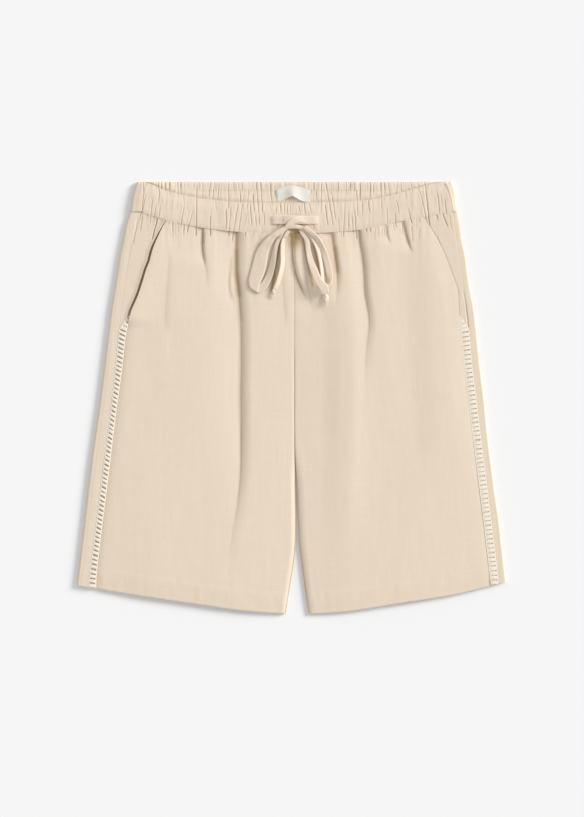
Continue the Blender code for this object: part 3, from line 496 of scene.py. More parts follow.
def thread_material(name, light, dark):
    """Twisted thread: fine slanting plies and a soft shine."""
    material, tree = new_material(name, {"Roughness": 0.6, "Specular IOR Level": 0.3, "Sheen Weight": 0.1})
    place = node(tree, "ShaderNodeTexCoord", {}).outputs["Object"]
    plies = node(tree, "ShaderNodeTexWave", {"Vector": place, "Scale": 900.0, "Distortion": 1.0},
                 wave_type="BANDS", bands_direction="DIAGONAL").outputs["Fac"]
    finish_material(tree, mixed(tree, plies, (*dark, 1.0), (*light, 1.0)), plies, 0.5, 0.0001)
    return material


# colour of the shade painted into creases, valleys and under the bow
PAINTED_SHADE_COLOUR = (0.46, 0.32, 0.165)
CLOTH = cloth_material("linen", (0.782, 0.665, 0.533), (0.745, 0.629, 0.499))
CLOTH_INSIDE = cloth_material("linen_inside", (0.776, 0.657, 0.526), (0.738, 0.620, 0.490))
TRIM = thread_material("trim_thread", (0.93, 0.86, 0.75), (0.86, 0.78, 0.66))
SEWING = thread_material("sewing_thread", (0.46, 0.36, 0.26), (0.38, 0.29, 0.20))
LABEL = cloth_material("label_satin", (0.78, 0.755, 0.69), (0.75, 0.72, 0.655), grain=1.6, weave=0.3)


# ---- cords: loops and tails of the bow ----
def stations(table, steps):
    """Rows between a table's rows, smooth through all of them."""
    rows = np.array(table)
    at = np.arange(len(rows))
    fine = np.linspace(0, len(rows) - 1, (len(rows) - 1) * steps + 1)
    return np.stack([spline(at, rows[:, column], fine) for column in range(rows.shape[1])], axis=1)


def tie_piece(solid, name, table, seed, thick=2.1, steps=8, sides=20, arch=0.0, placed=False):
    """A flat tube of cloth along its stations, with sewn edges and small lengthwise wrinkles.

    Rows are x, y, lift over what lies below (or z where `placed`), width, turn and tilt. `arch` bows the
    width upwards in its middle.
    """
    rows = stations(table, steps)
    turns = np.radians(rows[:, 4])
    tilts = np.radians(rows[:, 5])
    middle = rows[:, 2].copy()
    if not placed:
        middle += TIE_WALL / 2 * np.cos(tilts) + rows[:, 3] / 2 * np.abs(np.sin(tilts)) + GAP
        middle += [bow_floor(x, y) for x, y in rows[:, :2]]
    centres = np.stack([rows[:, 0], rows[:, 1], middle], axis=1)
    tangents = np.gradient(centres, axis=0)
    tangents /= np.linalg.norm(tangents, axis=1)[:, None]
    across = np.stack([np.cos(turns) * np.cos(tilts), np.sin(turns) * np.cos(tilts), np.sin(tilts)], axis=1)
    normals = np.cross(tangents, across)
    normals /= np.linalg.norm(normals, axis=1)[:, None]
    if normals[:, 2].mean() < 0:
        normals *= -1.0
    ring = np.linspace(0, 2 * math.pi, sides, endpoint=False)
    side = squarer(np.cos(ring), 0.75)
    lift = squarer(np.sin(ring), 0.55)
    sewn_edge = 0.22 * bell(np.abs(side) - 0.86, 0.1)
    along = np.cumsum(np.r_[0.0, np.linalg.norm(np.diff(centres, axis=0), axis=1)])
    points = []
    for index, row in enumerate(rows):
        place = side * row[3] / 2
        wrinkle = 0.26 * lattice(place, np.full(sides, along[index]), 2.3, 17.0, seed)
        wrinkle += 0.12 * lattice(place, np.full(sides, along[index]), 1.3, 6.0, seed + 1)
        height = lift * (thick / 2 + sewn_edge) + wrinkle * np.abs(lift) + arch * (1 - side ** 2)
        points.append(centres[index] + np.outer(place, across[index]) + np.outer(height, normals[index]))
    piece = new_object(name, np.concatenate(points), tube_faces(len(rows), sides), CLOTH, sharp=60)
    stand_for(solid)
    return piece, centres


def knotted_end(side, centre, half_x, half_y, height, seed):
    """A small hard knot in the end of a tail: a lumpy ball with a groove wound round it."""
    rings = 22
    sides = 32
    tilt, turn = np.meshgrid(np.linspace(-math.pi / 2, math.pi / 2, rings + 1),
                             np.linspace(0, 2 * math.pi, sides, endpoint=False), indexing="ij")
    wave = 1.0 + 0.13 * np.sin(2 * turn + 3 * tilt + seed) + 0.08 * np.sin(5 * turn - 4 * tilt)
    wave -= 0.16 * bell(np.sin(turn + seed) * 0.8 + tilt, 0.16)
    x = centre[0] + half_x * wave * np.cos(tilt) * np.cos(turn)
    y = centre[1] + half_y * wave * np.cos(tilt) * np.sin(turn)
    z = centre[2] + height / 2 * wave * np.sin(tilt)
    piece = new_object("tail_end_" + side + "_knot", np.stack([x, y, z], axis=2).reshape(-1, 3),
                       grid_faces(rings + 1, sides, wrap=True), CLOTH, sharp=70)
    stand_for("tail_end_" + side)
    return piece


left_end = knotted_end("left", (-22.0, 129.4, 8.9), 2.1, 4.4, 2.8, 1.0)
right_end = knotted_end("right", (41.8, 122.2, 8.9), 3.6, 5.6, 3.6, 2.0)

for solid, table, seed, thick, width, far, end in (
        ("bow_loop_left", LEFT_LOOP, 11, 1.4, 0.014, "object", ()),
        ("bow_loop_right", RIGHT_LOOP, 12, 2.1, 0.010, "object", ()),
        ("tie_tail_left", LEFT_TAIL, 13, 2.4, 0.008, "knot", (left_end,)),
        ("tie_tail_right", RIGHT_TAIL, 14, 2.4, 0.009, "knot", (right_end,))):
    piece, path = tie_piece(solid, solid + "_cloth", table, seed, thick=thick)


# ---- front panels ----
# How far a front's outer edge is laid outside (+) or inside (-) its solid's edge, at y.
EDGE_SHIFT = {
    "left": np.array(((228, 0), (205, -1.2), (180, -1.8), (169, -2.8), (157, -1.6), (144, -2.4), (132, -3.4),
                      (120, -3.5), (108, -2.2), (95, -0.9), (80, 0.6), (40, 1.6), (0, 3), (-100, 2.6),
                      (-200, 2), (-230, 1.4))),
    "right": np.array(((95, 0), (80, 0), (40, 0.6), (0, 0.6))),
}
SEAM_CLOSING = 0.25         # how far the left front reaches over to close the seam down the middle
SEAM_TUCK = 0.05            # how far the body cloth starts below the band's seam
SOLVE_STEPS = 14            # rounds of finding x from y and y from x on a slanted outline
MOUTH_FOOT = 84.0           # y at which the pocket mouths end and the openwork starts
FRONT_COLUMNS = 330
FRONT_LOWEST = 2.9
GATHERED = 60.0             # no gather or pucker runs further down than this below the band
ROLL_FOOT = 1.6             # height to which the inner legs roll down
INNER_ROLL = {"left": 7.0, "right": 10.0}
OUTER_FALL = {"left": 1.3, "right": 0.4}

# Shade painted into the cloth where the knot, the buttonholes, deep folds and the bow keep the light off it:
# x and y of the top, x and y of the foot, half the width, share of the full painted shade colour.
KNOT_SHADES = (((5.5, 208), (4.5, 192), 8.5, 1), ((-16.2, 212.5), (-17.2, 208), 0.9, 1),
               ((26.8, 212.5), (28.2, 208), 0.9, 1))
SHADES = (*KNOT_SHADES, ((-14.5, 190), (-24.5, 131), 2, 1),
          ((27, 187), (34.5, 157), 2.4, 0.8), ((14, 194), (26, 138), 2, 0.8),
          ((-66.8, 211), (-67.5, 181), 3, 0.55), ((-67.5, 181), (-67, 154), 3.2, 0.8),
          ((-67, 154), (-63.8, 126), 3.4, 0.9), ((-63.8, 126), (-61.6, 95), 2.8, 0.5),
          ((-60.8, 95), (-61, 0), 2.4, 0.22), ((-108.2, 213), (-108, 190), 1.5, 0.75),
          ((49.8, 205), (52.4, 184), 2.2, 0.5), ((52.8, 184), (56.4, 155), 2.8, 0.8),
          ((82.4, 211), (84.6, 190), 2.2, 0.7), ((84.6, 190), (89.4, 158), 2.8, 0.5),
          ((89.4, 158), (93, 110), 3, 0.35), ((136, 220), (143.2, 190), 1.6, 0.6))


def front_shift(side, y):
    return SIGN[side] * at_height(EDGE_SHIFT[side], 1, y)


# painted shade along the lines of a table
def shade(x, y, table):
    total = np.zeros_like(x)
    for (top_x, top_y), (foot_x, foot_y), half, share in table:
        along = np.clip((top_y - y) / (top_y - foot_y), 0.0, 1.0)
        away = np.hypot(x - top_x - (foot_x - top_x) * along, y - top_y - (foot_y - top_y) * along)
        total = np.maximum(total, share * bell(away, half))
    return total


def front_panel(side, fine, seed):
    v = np.concatenate([np.linspace(0.0, 0.07, 24), np.linspace(0.07, 0.32, 44)[1:],
                        np.linspace(0.32, 0.93, 54)[1:], 1.0 - 0.07 * np.linspace(1.0, 0.0, 20)[1:] ** 1.7])
    across, down = np.meshgrid(np.linspace(0.0, 1.0, FRONT_COLUMNS), v)
    x = np.zeros_like(across)
    for _ in range(SOLVE_STEPS):
        y = (1 - down) * (curve(FRONT_SEAM, x) - SEAM_TUCK) + down * curve(HEMS[side], x)
        outer = edge(side + "_front", y) + front_shift(side, y)
        inner = edge(side + "_inner", y) + (SEAM_CLOSING if side == "left" else 0.0)
        x = (1 - across) * inner + across * outer
    below_band = curve(FRONT_SEAM, x) - y
    from_inner = np.abs(x - edge(side + "_inner", y))
    from_outer = np.abs(x - outer)
    z = front_z(x, y)
    near_top = below_band < GATHERED
    z[near_top] += slit_relief(GATHERS + PUCKERS + fine, x[near_top], y[near_top])
    z += 0.30 * lattice(x, y, 5.0, 40, seed) * np.exp(-below_band / 30.0)
    z += 0.9 * np.exp(-below_band / 7.0) - 0.12 * bell(np.maximum(below_band, 0), 0.5)
    # the seam down the middle is a narrow valley; along the legs the front rolls down to the back
    leg = ramp((-60.0 - y) / 50.0)
    z -= (1 - leg) * (0.25 + 0.45 * ramp((65.0 - y) / 20.0)) * bell(from_inner, 0.9, 1.5)
    roll = np.sqrt(np.clip(1 - (1 - np.clip(from_inner / INNER_ROLL[side], 0, 1)) ** 2, 0, 1))
    z = z * (1 - leg) + (ROLL_FOOT + (z - ROLL_FOOT) * roll) * leg
    # outer edge: a lip along the left pocket mouth, a soft fall to the trim below both mouths
    mouth = ramp((y - MOUTH_FOOT) / 14.0)
    lip = 2.3 * ramp((225.0 - y) / 40.0) if side == "left" else 0.1
    z += mouth * (lip * bell(from_outer, 24.0) - 0.05 * bell(from_outer, 0.8))
    z -= (1 - mouth) * OUTER_FALL[side] * np.exp(-from_outer / 4.5)
    # turned-up hem, lying closer to the table than the leg above it
    above_hem = np.maximum(y - curve(HEMS[side], x), 0.0)
    hem_share = ramp((HEM_DEPTH - above_hem) / HEM_EDGE + 0.5)
    z += HEM_EXTRA * hem_share - 1.1 * bell(above_hem, 13.0, 1.5) * ramp(from_inner / 12.0 + 0.3)
    z -= 0.1 * bell(above_hem - HEM_DEPTH, 1.0) + 0.35 * bell(above_hem, 0.6)
    z += 0.12 * lattice(x, above_hem, 7, 14, seed + 5) * bell(above_hem - 12, 14.0)
    wall = CLOTH_WALL + HEM_EXTRA * hem_share
    z = np.maximum(z, FRONT_LOWEST)
    # painted shade in narrow valleys and along the SHADES lines
    painted_shade = np.maximum(0.9 * valleys(z, 5), shade(x, y, SHADES))
    return cloth_over("front_panel_" + side, "front_cloth_" + side, layers(x, y, z, wall), CLOTH,
                      (painted_shade,))


front_left = front_panel("left", random_slits(46, -150, 0, 200, 224, (0.25, 0.7), 23), 21)
front_right = front_panel("right", random_slits(46, 4, 160, 200, 224, (0.25, 0.7), 24), 22)


# ---- back panels, round the outer folds ----
PANEL_LENGTH = 465.0
SQUARENESS = 0.6            # of the outer folds; 1 would be round
TRIM_BACKING = {"left": 3.2, "right": 3.6}
# shares of the shade painted behind the openwork and on the strip's rim that faces the light
TRIM_SHADE = {"left": 0.45, "right": 0.15}
RIM_SHADE = {"left": 0.0, "right": 0.2}
STRIP_CROWN = {"left": 0.25, "right": 0.0}


def fold_arc(turns, radius):
    """How far a fold stands out at each turn from below to above, and how high."""
    return radius * np.cos(turns) ** SQUARENESS, radius + radius * squarer(np.sin(turns), SQUARENESS)


def edge_down(side, name, top, down):
    """X of an edge of a back panel at shares of the way from its top to the hem."""
    x = np.full_like(down, edge(side + "_" + name, top))
    for _ in range(SOLVE_STEPS):
        x = edge(side + "_" + name, top + down * (curve(HEMS[side], x) - top))
    return x


def back_panel(side, seed):
    """One back: flat under the shorts, round the outer fold, and on as a strip up to the side seam."""
    sign = SIGN[side]
    top = WAIST_SEAM - GAP
    down = np.concatenate([np.linspace(0.0, 0.06, 14), np.linspace(0.06, 0.94, 90)[1:],
                           np.linspace(0.94, 1.0, 12)[1:]])[:, None]
    inner, fold, seam = (edge_down(side, name, top, down) for name in ("inner", "fold", "seam"))
    hem_share = ramp((down - (1 - HEM_DEPTH / PANEL_LENGTH)) * PANEL_LENGTH / HEM_EDGE + 0.5)
    wall = CLOTH_WALL + HEM_EXTRA * hem_share
    radius = SEAM_RISE / 2
    bend = radius - wall
    centre = fold - sign * radius
    turns = np.radians(np.linspace(-90, 90, 10))
    bulge, arc_z = fold_arc(turns, radius)
    flat_x = inner + (centre - inner) * np.linspace(0, 1, 96, endpoint=False)
    across = np.linspace(0, 1, 17)[1:]
    strip_x = centre + (seam - centre) * across
    x = np.hstack([flat_x, centre + sign * bulge, strip_x])
    y = top + down * (curve(HEMS[side], x) - top)
    # creases in the underside rise off the surface it lies on
    flat_y = y[:, :flat_x.shape[1]]
    below = top - flat_y
    relief = 0.7 * np.maximum(0.0, lattice(flat_x, flat_y, 26, 150, seed))
    relief += 0.8 * np.maximum(0.0, lattice(flat_x, flat_y, 7.5, 300, seed + 1)) * np.exp(-below / 28.0)
    under_z = relief * ramp(below / 4.0 + 0.2) * ramp((flat_y - curve(HEMS[side], flat_x)) / 30.0)
    # the cloth inside puffs up under the openwork
    under_trim = bell(np.abs(flat_x - 0.5 * (seam + edge(side + "_front", flat_y))), 7.0, 4)
    strip_y = y[:, -len(across):]
    strip_z = SEAM_RISE + STRIP_CROWN[side] * ramp(across / 0.35)
    strip_z = strip_z + 0.10 * lattice(strip_x, strip_y, 6, 40, seed + 2)
    strip_z += 0.3 * lattice(strip_x, strip_y, 3.4, 400, seed + 3) * np.exp((strip_y - top) / 14.0)
    strip_z -= 0.12 * bell((1 - across) * np.abs(seam - centre), 0.9)
    if side == "left":
        strip_z += 0.9 * slit_relief(PUCKERS[:1], strip_x, strip_y)
    upper = np.stack([x, y, np.hstack([under_z, np.tile(arc_z, (len(down), 1)), strip_z])], axis=2)
    inner_x = np.hstack([flat_x, centre + sign * bend * np.cos(turns), strip_x])
    inner_z = np.hstack([under_z + wall + TRIM_BACKING[side] * under_trim, radius + bend * np.sin(turns),
                         strip_z - wall])
    lower = np.stack([inner_x, y, inner_z], axis=2)
    # painted shade on the rim that faces the light, which keeps it from glaring
    rim = np.zeros_like(x)
    rim[:, -len(across) - 6:-len(across)] = RIM_SHADE[side]
    # painted shade on the cloth seen through the openwork
    painted_shade_behind_trim = np.zeros_like(x)
    painted_shade_behind_trim[:, :flat_x.shape[1]] = TRIM_SHADE[side] * under_trim
    return cloth_over("back_panel_" + side, "back_cloth_" + side, (upper, lower), CLOTH,
                      (rim, painted_shade_behind_trim), sharp=50)


back_left = back_panel("left", 31)
back_right = back_panel("right", 36)


# ---- pocket pieces ----
SEAM_MEET = 0.06            # gap between the edges of two pieces that meet in a seam
POCKET_TUCK = 11.0          # how far the side piece reaches in under the front


def pocket_piece(side, seed):
    sign = SIGN[side]
    across, down = np.meshgrid(np.linspace(0, 1, 110), np.linspace(0, 1, 100))
    x = np.full_like(across, sign * 200.0)
    for _ in range(SOLVE_STEPS):
        top = curve(FRONT_SEAM, x) - SEAM_TUCK
        y = top + down * (MOUTH_FOOT - top)
        start = edge(side + "_seam", y) - sign * SEAM_MEET
        mouth = edge(side + "_front", y)
        x = start + across * (mouth - sign * POCKET_TUCK - start)
    below = curve(FRONT_SEAM, x) - y
    to_mouth = sign * (x - mouth - front_shift(side, y))
    if side == "left":
        # level beside the mouth, then a sharp drop into it
        reach = 0.6 + 2.0 * ramp((222.0 - y) / 50.0) * ramp((y - MOUTH_FOOT) / 30.0 + 0.3)
        z = 5.3 - 0.4 * ramp(1 - to_mouth / 30.0) + 0.5 * bell(to_mouth - reach - 1.4, 1.6)
        inside = ramp((reach - to_mouth) / 1.1 + 0.5)
        z -= 3.2 * inside
        lowest = 2.7
    else:
        # the pocket gapes beside the side seam, near its foot
        z = 5.5 - 0.1 * ramp(1 - to_mouth / 34.0) - 0.5 * bell(to_mouth, 0.9)
        gape = ramp((135.0 - y) / 20.0) * ramp((y - MOUTH_FOOT) / 6.0)
        inside = gape * bell(np.abs(x - start) - 0.8, 0.8, 4)
        z -= 1.9 * inside
        lowest = 2.4
    z += 0.9 * np.exp(-below / 9.0) - 0.12 * bell(np.abs(x - start), 0.7)
    z += 0.12 * lattice(x, y, 9, 45, seed) + 0.4 * lattice(x, y, 3.4, 400, seed + 1) * np.exp(-below / 9.0)
    z += 0.8 * slit_relief(GATHERS + PUCKERS, x, y)
    z = np.maximum(z, lowest)
    # painted shade in narrow valleys and down inside the pocket mouth
    return cloth_over("pocket_piece_" + side, "pocket_cloth_" + side, layers(x, y, z, CLOTH_WALL),
                      CLOTH_INSIDE, (np.maximum(0.9 * valleys(z, 8), inside),))


pocket_left = pocket_piece("left", 41)
pocket_right = pocket_piece("right", 44)


# ---- waistband ----
FINE_WRINKLES = random_slits(110, -172, 172, 230, 262, (0.2, 0.5), 55)
HIDDEN_GATHERS = random_slits(110, -185, 188, 232, 260, (0.4, 1.0), 56)
HEADING_Y = 254.2           # stitched line under the heading along the top of the casing
BAND_HEIGHTS = 0.5 - 0.5 * np.cos(math.pi * np.linspace(0, 1, 24))
BAND_FLOOR = 4.2            # underside of the front casing
BAND_LOWEST = 5.0


def band_end(name, y):
    column = ("y", "left_fold", "left_seam", "right_seam", "right_fold").index(name)
    return spline(BAND_ENDS[:, 0], BAND_ENDS[:, column], y)


def band_relief(x, y):
    """Gathers of the casing, with denser ones in the heading above the stitched line."""
    z = 0.58 * slit_relief(GATHERS + FINE_WRINKLES, x, y)
    z += 0.22 * lattice(x, y, 6.0, 20, 52) + 0.10 * lattice(x, y, 2.3, 9, 53)
    heading = ramp((y - HEADING_Y) / 1.5)
    return z + heading * 0.28 * lattice(x, y * 0, 2.1, 10, 54) * ramp((176 - np.abs(x)) / 20.0)


def waistband_front():
    across, level = np.meshgrid(np.linspace(0, 1, 1240), BAND_HEIGHTS)
    y_end = WAIST_SEAM + level * (WAIST_TOP - WAIST_SEAM)
    left = band_end("left_seam", y_end) + SEAM_MEET
    right = band_end("right_seam", y_end) - SEAM_MEET
    x = left + across * (right - left)
    y = (1 - level) * curve(FRONT_SEAM, x) + level * curve(FRONT_BAND_TOP, x)
    from_seam = y - curve(FRONT_SEAM, x)
    from_top = curve(FRONT_BAND_TOP, x) - y
    z = BAND_RISE + 1.0 + band_relief(x, y) + 0.3 * lattice(x, y, 24, 60, 57)
    z -= 0.5 * bell(from_seam, 3.0) + 0.1 * bell(from_seam, 0.5)
    z -= 1.3 * bell(from_top, 8.0) + 0.1 * bell(from_top, 0.6)
    z -= 0.12 * bell(np.minimum(x - left, right - x), 0.8)
    y = y + 0.25 * lattice(x, y * 0, 3.2, 10, 53) * ramp(1 - from_top / 3.0)
    z = np.maximum(z, BAND_LOWEST)
    # painted shade in narrow valleys, under the knot and in the buttonholes
    return cloth_over("waistband_front", "waistband_front_cloth", layers(x, y, z, z - BAND_FLOOR), CLOTH,
                      (np.maximum(valleys(z, 7), shade(x, y, KNOT_SHADES)),))


def band_lap(seam_x, centre, y, rim):
    """X and height of the back casing's outer face, where it laps over the fold up to the side seam."""
    share = np.linspace(0, 1, 24, endpoint=False)
    x = seam_x + (centre - seam_x) * share
    z = BAND_RISE + 0.6 - 0.9 * rim - 0.3 * bell(y - WAIST_SEAM, 0.7) - 0.6 * ramp(share * 1.6 - 0.6)
    z += 0.8 * slit_relief(GATHERS, x, y) + 0.1 * lattice(x, y, 6, 20, 58)
    return x, z - 0.25 * bell(np.abs(x - seam_x), 0.8)


def waistband_back():
    """The casing lies on its outer face; its gathered inner face shows above the front."""
    radius = BAND_RISE / 2
    bend = radius - BAND_WALL
    turns = np.radians(np.linspace(90, -90, 8))
    bulge, arc_out = fold_arc(turns, radius)
    y = WAIST_SEAM + BAND_HEIGHTS[:, None] * (WAIST_TOP - WAIST_SEAM)
    left_fold, left_seam, right_seam, right_fold = (
        band_end(name, y) for name in ("left_fold", "left_seam", "right_seam", "right_fold"))
    left_c = left_fold + radius
    right_c = right_fold - radius
    x = left_c + (right_c - left_c) * np.linspace(0, 1, 1180)[1:-1]
    from_top = WAIST_TOP - y
    rim = bell(from_top, 1.5)
    above_front = y - curve(FRONT_BAND_TOP, x)
    shows = ramp((above_front - 0.2) / 1.6)
    inner = 3.4 + 1.4 * shows * bell(above_front, 9.0) + band_relief(x, y) * shows
    inner -= 0.8 * rim + 0.3 * bell(y - HEADING_Y, 0.7)
    inner = np.where(above_front < 1.0, np.minimum(inner, 3.9), inner)
    outer = np.maximum(0.0, -0.7 * slit_relief(HIDDEN_GATHERS, x, y)) + 0.3 * rim
    left_x, left_z = band_lap(left_seam, left_c, y, rim)
    right_x, right_z = band_lap(right_seam, right_c, y, rim)
    inside = np.full_like(left_x, BAND_RISE - BAND_WALL)
    arc_out = np.tile(arc_out, (len(y), 1))
    arc_in = np.tile(radius + bend * np.sin(turns), (len(y), 1))
    out_x = np.hstack([left_x, left_c - bulge, x, right_c + bulge[::-1], right_x[:, ::-1]])
    out_z = np.hstack([left_z, arc_out, outer, arc_out[:, ::-1], right_z[:, ::-1]])
    in_x = np.hstack([left_x, left_c - bend * np.cos(turns), x,
                      right_c + bend * np.cos(turns[::-1]), right_x[:, ::-1]])
    in_z = np.hstack([inside, arc_in, inner, arc_in[:, ::-1], inside])
    y = y + 0.3 * lattice(out_x, out_x * 0, 3.2, 10, 63) * ramp(1 - from_top / 3.0)
    # the inner face is the grid that shows, so it comes first
    grids = (np.stack([in_x, y, in_z], axis=2), np.stack([out_x, y, out_z], axis=2))
    # painted shade in the narrow valleys of the inner face
    return cloth_over("waistband_back", "waistband_back_cloth", grids, CLOTH, (valleys(in_z, 7),))


band_front = waistband_front()
band_back = waistband_back()


# ---- tubes: openwork trim and stitches ----
class Tubes:
    """Collects many small round tubes in one mesh."""

    def __init__(self):
        self.points = []
        self.faces = []

    def add(self, path, radii, sides=6, flat=1.0):
        radii = np.broadcast_to(radii, len(path))
        tangents = np.gradient(path, axis=0)
        tangents /= np.linalg.norm(tangents, axis=1)[:, None]
        side = np.cross(tangents, (0.0, 0.0, 1.0))
        side /= np.maximum(np.linalg.norm(side, axis=1), 1e-9)[:, None]
        lift = np.cross(side, tangents)
        ring = np.linspace(0, 2 * math.pi, sides, endpoint=False)[:, None]
        self.faces += tube_faces(len(path), sides, len(self.points))
        for centre, radius, outwards, upwards in zip(path, radii, side, lift):
            self.points.extend(centre + radius * (np.cos(ring) * outwards + flat * np.sin(ring) * upwards))

    def build(self, name, material):
        return new_object(name, self.points, self.faces, material, sharp=70)


LADDER_PITCH = 5.5
LADDER_TOP_Y = 83.0
LADDER_SLANT = 18.0         # how much higher the slanted top ends at the front panel than at the seam
RUNG_STEPS = 7
RUNG_THREAD = 0.56
SIDE_THREAD = 0.5
BEAT = 2.4                  # angle between one bead and the next along a side thread


def ladder(side, tilt_hem, tilt_top, spread, seed):
    """Hemstitched trim: each rung is four threads, drawn together in the middle and fanned at both ends."""
    sign = SIGN[side]
    rng = np.random.RandomState(seed)
    tubes = Tubes()
    bottom = float(curve(HEMS[side], edge(side + "_seam", -229.0))) + 0.9
    z = SEAM_RISE + 0.1

    def at(share, y):
        start = edge(side + "_seam", y) - sign * GAP
        end = edge(side + "_front", y) + front_shift(side, y) + sign * GAP
        return float(start + share * (end - start))

    along = np.linspace(0, 1, RUNG_STEPS)
    fan = 0.72 + 0.28 * np.abs(2 * along - 1) ** 2.2
    y = bottom + 0.6
    while True:
        risen = (y - bottom) / (LADDER_TOP_Y - bottom)
        tilt = tilt_hem + (tilt_top - tilt_hem) * (1 - math.exp(-risen * 9.0))
        outer = max((y + tilt - LADDER_TOP_Y) / (LADDER_SLANT + tilt), 0.0)
        if outer > 0.72:
            break
        shares = np.linspace(outer - 0.02, 1.03, RUNG_STEPS)
        ys = y + tilt * (1 - shares) + rng.uniform(-0.35, 0.35)
        xs = [at(share, value) for share, value in zip(shares, ys)]
        bow = 0.25 * np.sin(math.pi * along) * rng.uniform(-1, 1)
        for offset in (-1.5, -0.5, 0.5, 1.5):
            height = z + 0.35 * np.sin(math.pi * along) - 0.10 * abs(offset) + rng.uniform(-0.08, 0.08)
            path = np.stack([xs, ys + bow + spread * offset * fan, height], axis=1)
            tubes.add(path, RUNG_THREAD * (0.92 + 0.16 * rng.rand()), flat=0.8)
        y += LADDER_PITCH
    for share in (0.03, 1.0):
        reach = LADDER_TOP_Y + LADDER_SLANT * share
        count = int((reach - bottom) / 1.1)
        ys = np.linspace(bottom, reach, count)
        beats = BEAT * np.arange(count)
        xs = np.array([at(share, value) for value in ys]) + 0.14 * np.sin(beats)
        tubes.add(np.stack([xs, ys, z - 0.1 + 0.12 * np.cos(beats)], axis=1), SIDE_THREAD, sides=7)
    # the slanted end at the pocket mouth's foot
    shares = np.linspace(0.04, 0.95, 18)
    ys = LADDER_TOP_Y + LADDER_SLANT * shares
    xs = [at(share, value) for share, value in zip(shares, ys)]
    tubes.add(np.stack([xs, ys, np.full(len(ys), z)], axis=1), SIDE_THREAD, sides=7)
    piece = tubes.build("ladder_threads_" + side, TRIM)
    stand_for("ladder_trim_" + side)
    return piece


ladder("left", 0.4, 3.6, 1.15, 71)
ladder("right", 0.3, 1.6, 1.30, 72)


# ---- label ----
LABEL_FOOT = np.array(((-18.4, 240.6), (-9, 242.8), (-3, 245.4), (1, 247), (5.5, 245),
                       (12.2, 241.4), (22.8, 239.9)))
LABEL_HEAD = np.array(((-18.4, 255), (-9.2, 258.6), (-1.8, 260), (10.4, 258.4), (22.8, 254.4)))
LABEL_WALL = 0.45
LABEL_LENGTH = 41.2


def label():
    """Blank woven label, sewn down at both ends, its middle pushed up into a skewed arch."""
    across, level = np.meshgrid(np.linspace(0, 1, 80), np.linspace(0, 1, 20))
    x = LABEL_FOOT[0, 0] + across * LABEL_LENGTH
    foot = curve(LABEL_FOOT, x)
    y = foot + level * (curve(LABEL_HEAD, x) - foot)
    z = 4.9 + 3.4 * bell(x - 2.5, 8.5) * (1.1 - 0.8 * level) + 0.12 * lattice(x, y, 9, 12, 81)
    z -= 0.4 * bell(np.minimum(across, 1 - across) * 41, 1.5)
    return cloth_over("label", "label_cloth", layers(x, y, z, LABEL_WALL), LABEL, (), sharp=50)


label_piece = label()


# ---- stitches ----
STITCH = 1.5
STITCH_PITCH = 2.9
STITCH_RADIUS = 0.2


def sew(tubes, line, height, seed, radius=STITCH_RADIUS):
    """Short stitches along a line, each dipping into the cloth at both ends."""
    rng = np.random.RandomState(seed)
    line = np.array(line)
    along = np.concatenate([[0.0], np.cumsum(np.linalg.norm(np.diff(line, axis=0), axis=1))])
    for start in np.arange(1.0, along[-1] - STITCH_PITCH, STITCH_PITCH):
        at = start + STITCH * rng.uniform(0.6, 1.15) * np.linspace(0.0, 1.0, 4)
        x = np.interp(at, along, line[:, 0])
        y = np.interp(at, along, line[:, 1]) + rng.uniform(-0.12, 0.12)
        z = height + np.array((-0.2, 0.1, 0.1, -0.2))
        tubes.add(np.stack([x, y, z], axis=1), radius, sides=5)


def stitches():
    """The band's seam, its heading, the label's ends and the edges of the tie's buttonholes."""
    tubes = Tubes()
    band_x = np.linspace(-178.0, 190.0, 180)
    sew(tubes, np.stack([band_x, curve(FRONT_SEAM, band_x) - 0.1], axis=1), BAND_RISE + 0.45, 101)
    sew(tubes, ((-146.0, HEADING_Y), (146.0, HEADING_Y)), 3.75, 102, radius=0.12)
    for end_x, seed in ((-17.2, 103), (21.6, 104)):
        sew(tubes, ((end_x, 241.5), (end_x, 254.0)), 4.95, seed)
    for hole_x, seed in ((-21.5, 105), (29.5, 106)):
        for x in (hole_x - 1.6, hole_x + 1.6):
            sew(tubes, ((x, 205.5), (x, 212.0)), BAND_RISE + 1.1, seed)
    tubes.build("stitches", SEWING)


def frayed(name, centre, count, reach, seed):
    """Loose threads that stand out of a knotted end."""
    rng = np.random.RandomState(seed)
    tubes = Tubes()
    for _ in range(count):
        turn = rng.uniform(math.radians(200), math.radians(340))
        out = np.array((math.cos(turn), math.sin(turn), rng.uniform(-0.15, 0.15)))
        side = np.array((-out[1], out[0], 0.0)) * rng.uniform(-0.5, 0.5)
        far = reach * rng.uniform(0.7, 1.3)
        along = np.linspace(0.2, 1.0, 5)[:, None]
        path = np.array(centre) + far * along * out + far * along ** 2 * side
        tubes.add(path, (0.34, 0.32, 0.28, 0.24, 0.16), sides=5)
    tubes.build(name, TRIM)


stitches()
frayed("frayed_left", (-22.4, 128.0, 9.2), 9, 5.6, 111)
frayed("frayed_right", (41.8, 121.0, 9.2), 14, 7.4, 112)


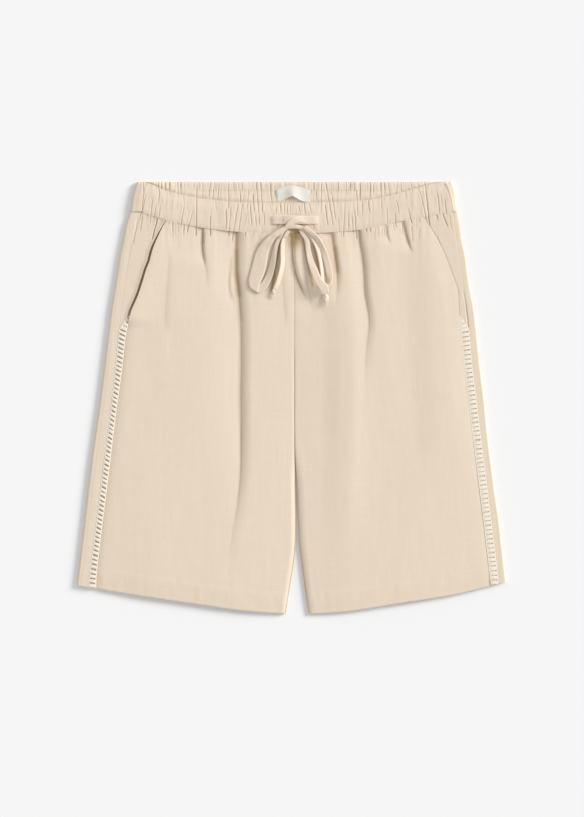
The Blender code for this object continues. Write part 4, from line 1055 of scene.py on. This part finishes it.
# ---- runs and knot of the tie ----
# The tie goes straight across, is laid over itself on the slant, and is rolled under below.
KNOT_STRANDS = (
    ("knot_across", 91, 1.9, (
        (-9.4, 217.9, 8.6, 10.4, 90, 0), (-3, 218, 9.4, 10.6, 88, 0), (4, 218, 9.8, 10.6, 90, 0),
        (12, 217.9, 9.4, 10.2, 92, 0), (17.4, 217.8, 8.7, 9.8, 90, 0))),
    ("knot_over", 92, 1.6, (
        (-8.6, 205.6, 9.4, 4.2, 126, 0), (-5.2, 209.6, 10.3, 6, 130, 4), (-0.6, 214.2, 10.9, 7.6, 132, 6),
        (5.4, 218, 10.9, 8.4, 122, 0), (11.6, 218.8, 9.9, 8.4, 106, -4), (16.6, 218.4, 8.8, 7.6, 96, -4))),
    ("knot_roll", 93, 2.2, (
        (-5.6, 208.4, 9.4, 3.2, 100, 0), (-0.6, 209.2, 10.6, 4.6, 94, 6), (5, 209.6, 11, 5.2, 90, 8),
        (10.4, 208.6, 10.4, 5, 76, 4), (15.4, 206.4, 9.6, 4.6, 56, 0))),
)
RUNS = (
    ("tie_run_left", 95, (
        (-24.4, 217.6, 6.6, 9.8, 90, 0), (-21, 217.8, 7.6, 10.6, 90, 0), (-15, 217.9, 8, 10.8, 90, 0),
        (-7.6, 217.9, 8.6, 10.6, 90, 0))),
    ("tie_run_right", 96, (
        (15.8, 217.9, 8.6, 10.2, 90, 0), (22, 217.8, 8, 10.4, 90, 0), (29, 217.7, 7.6, 10.2, 90, 0),
        (32.6, 217.4, 6.6, 9.6, 90, 0))),
)

for name, seed, thick, table in KNOT_STRANDS:
    tie_piece("bow_knot", name, table, seed, thick=thick, steps=7, sides=24, arch=0.2, placed=True)
for solid, seed, table in RUNS:
    tie_piece(solid, solid + "_cloth", table, seed, thick=1.6, placed=True)


# ---- floor and light ----
FLOOR_HALF = 4.0
FLOOR_WHITE = 0.876
FILL = 0.67
KEY = 3.02
KEY_ELEVATION = 23.5
KEY_AZIMUTH = 27.0          # from +X towards +Y
KEY_SOFTNESS = 21.0


def floor():
    mesh = bpy.data.meshes.new("floor")
    corners = [(x * FLOOR_HALF, y * FLOOR_HALF, 0) for x, y in ((-1, -1), (1, -1), (1, 1), (-1, 1))]
    mesh.from_pydata(corners, [], [(0, 1, 2, 3)])
    material, _ = new_material("floor_paper", {"Base Color": (FLOOR_WHITE, FLOOR_WHITE, FLOOR_WHITE, 1.0),
                                               "Roughness": 0.95, "Specular IOR Level": 0.0})
    mesh.materials.append(material)
    piece = bpy.data.objects.new("floor", mesh)
    bpy.context.collection.objects.link(piece)


def light():
    world = bpy.data.worlds.new("studio")
    world.use_nodes = True
    connect(world.node_tree, world.node_tree.nodes["Background"],
            {"Color": (1.0, 1.0, 1.0, 1.0), "Strength": FILL})
    bpy.context.scene.world = world
    sun_data = bpy.data.lights.new("key", "SUN")
    sun_data.energy = KEY
    sun_data.angle = math.radians(KEY_SOFTNESS)
    sun = bpy.data.objects.new("key", sun_data)
    sun.rotation_euler = (0.0, math.radians(90.0 - KEY_ELEVATION), math.radians(KEY_AZIMUTH))
    bpy.context.collection.objects.link(sun)


floor()
light()
bpy.context.scene.view_settings.view_transform = "Standard"
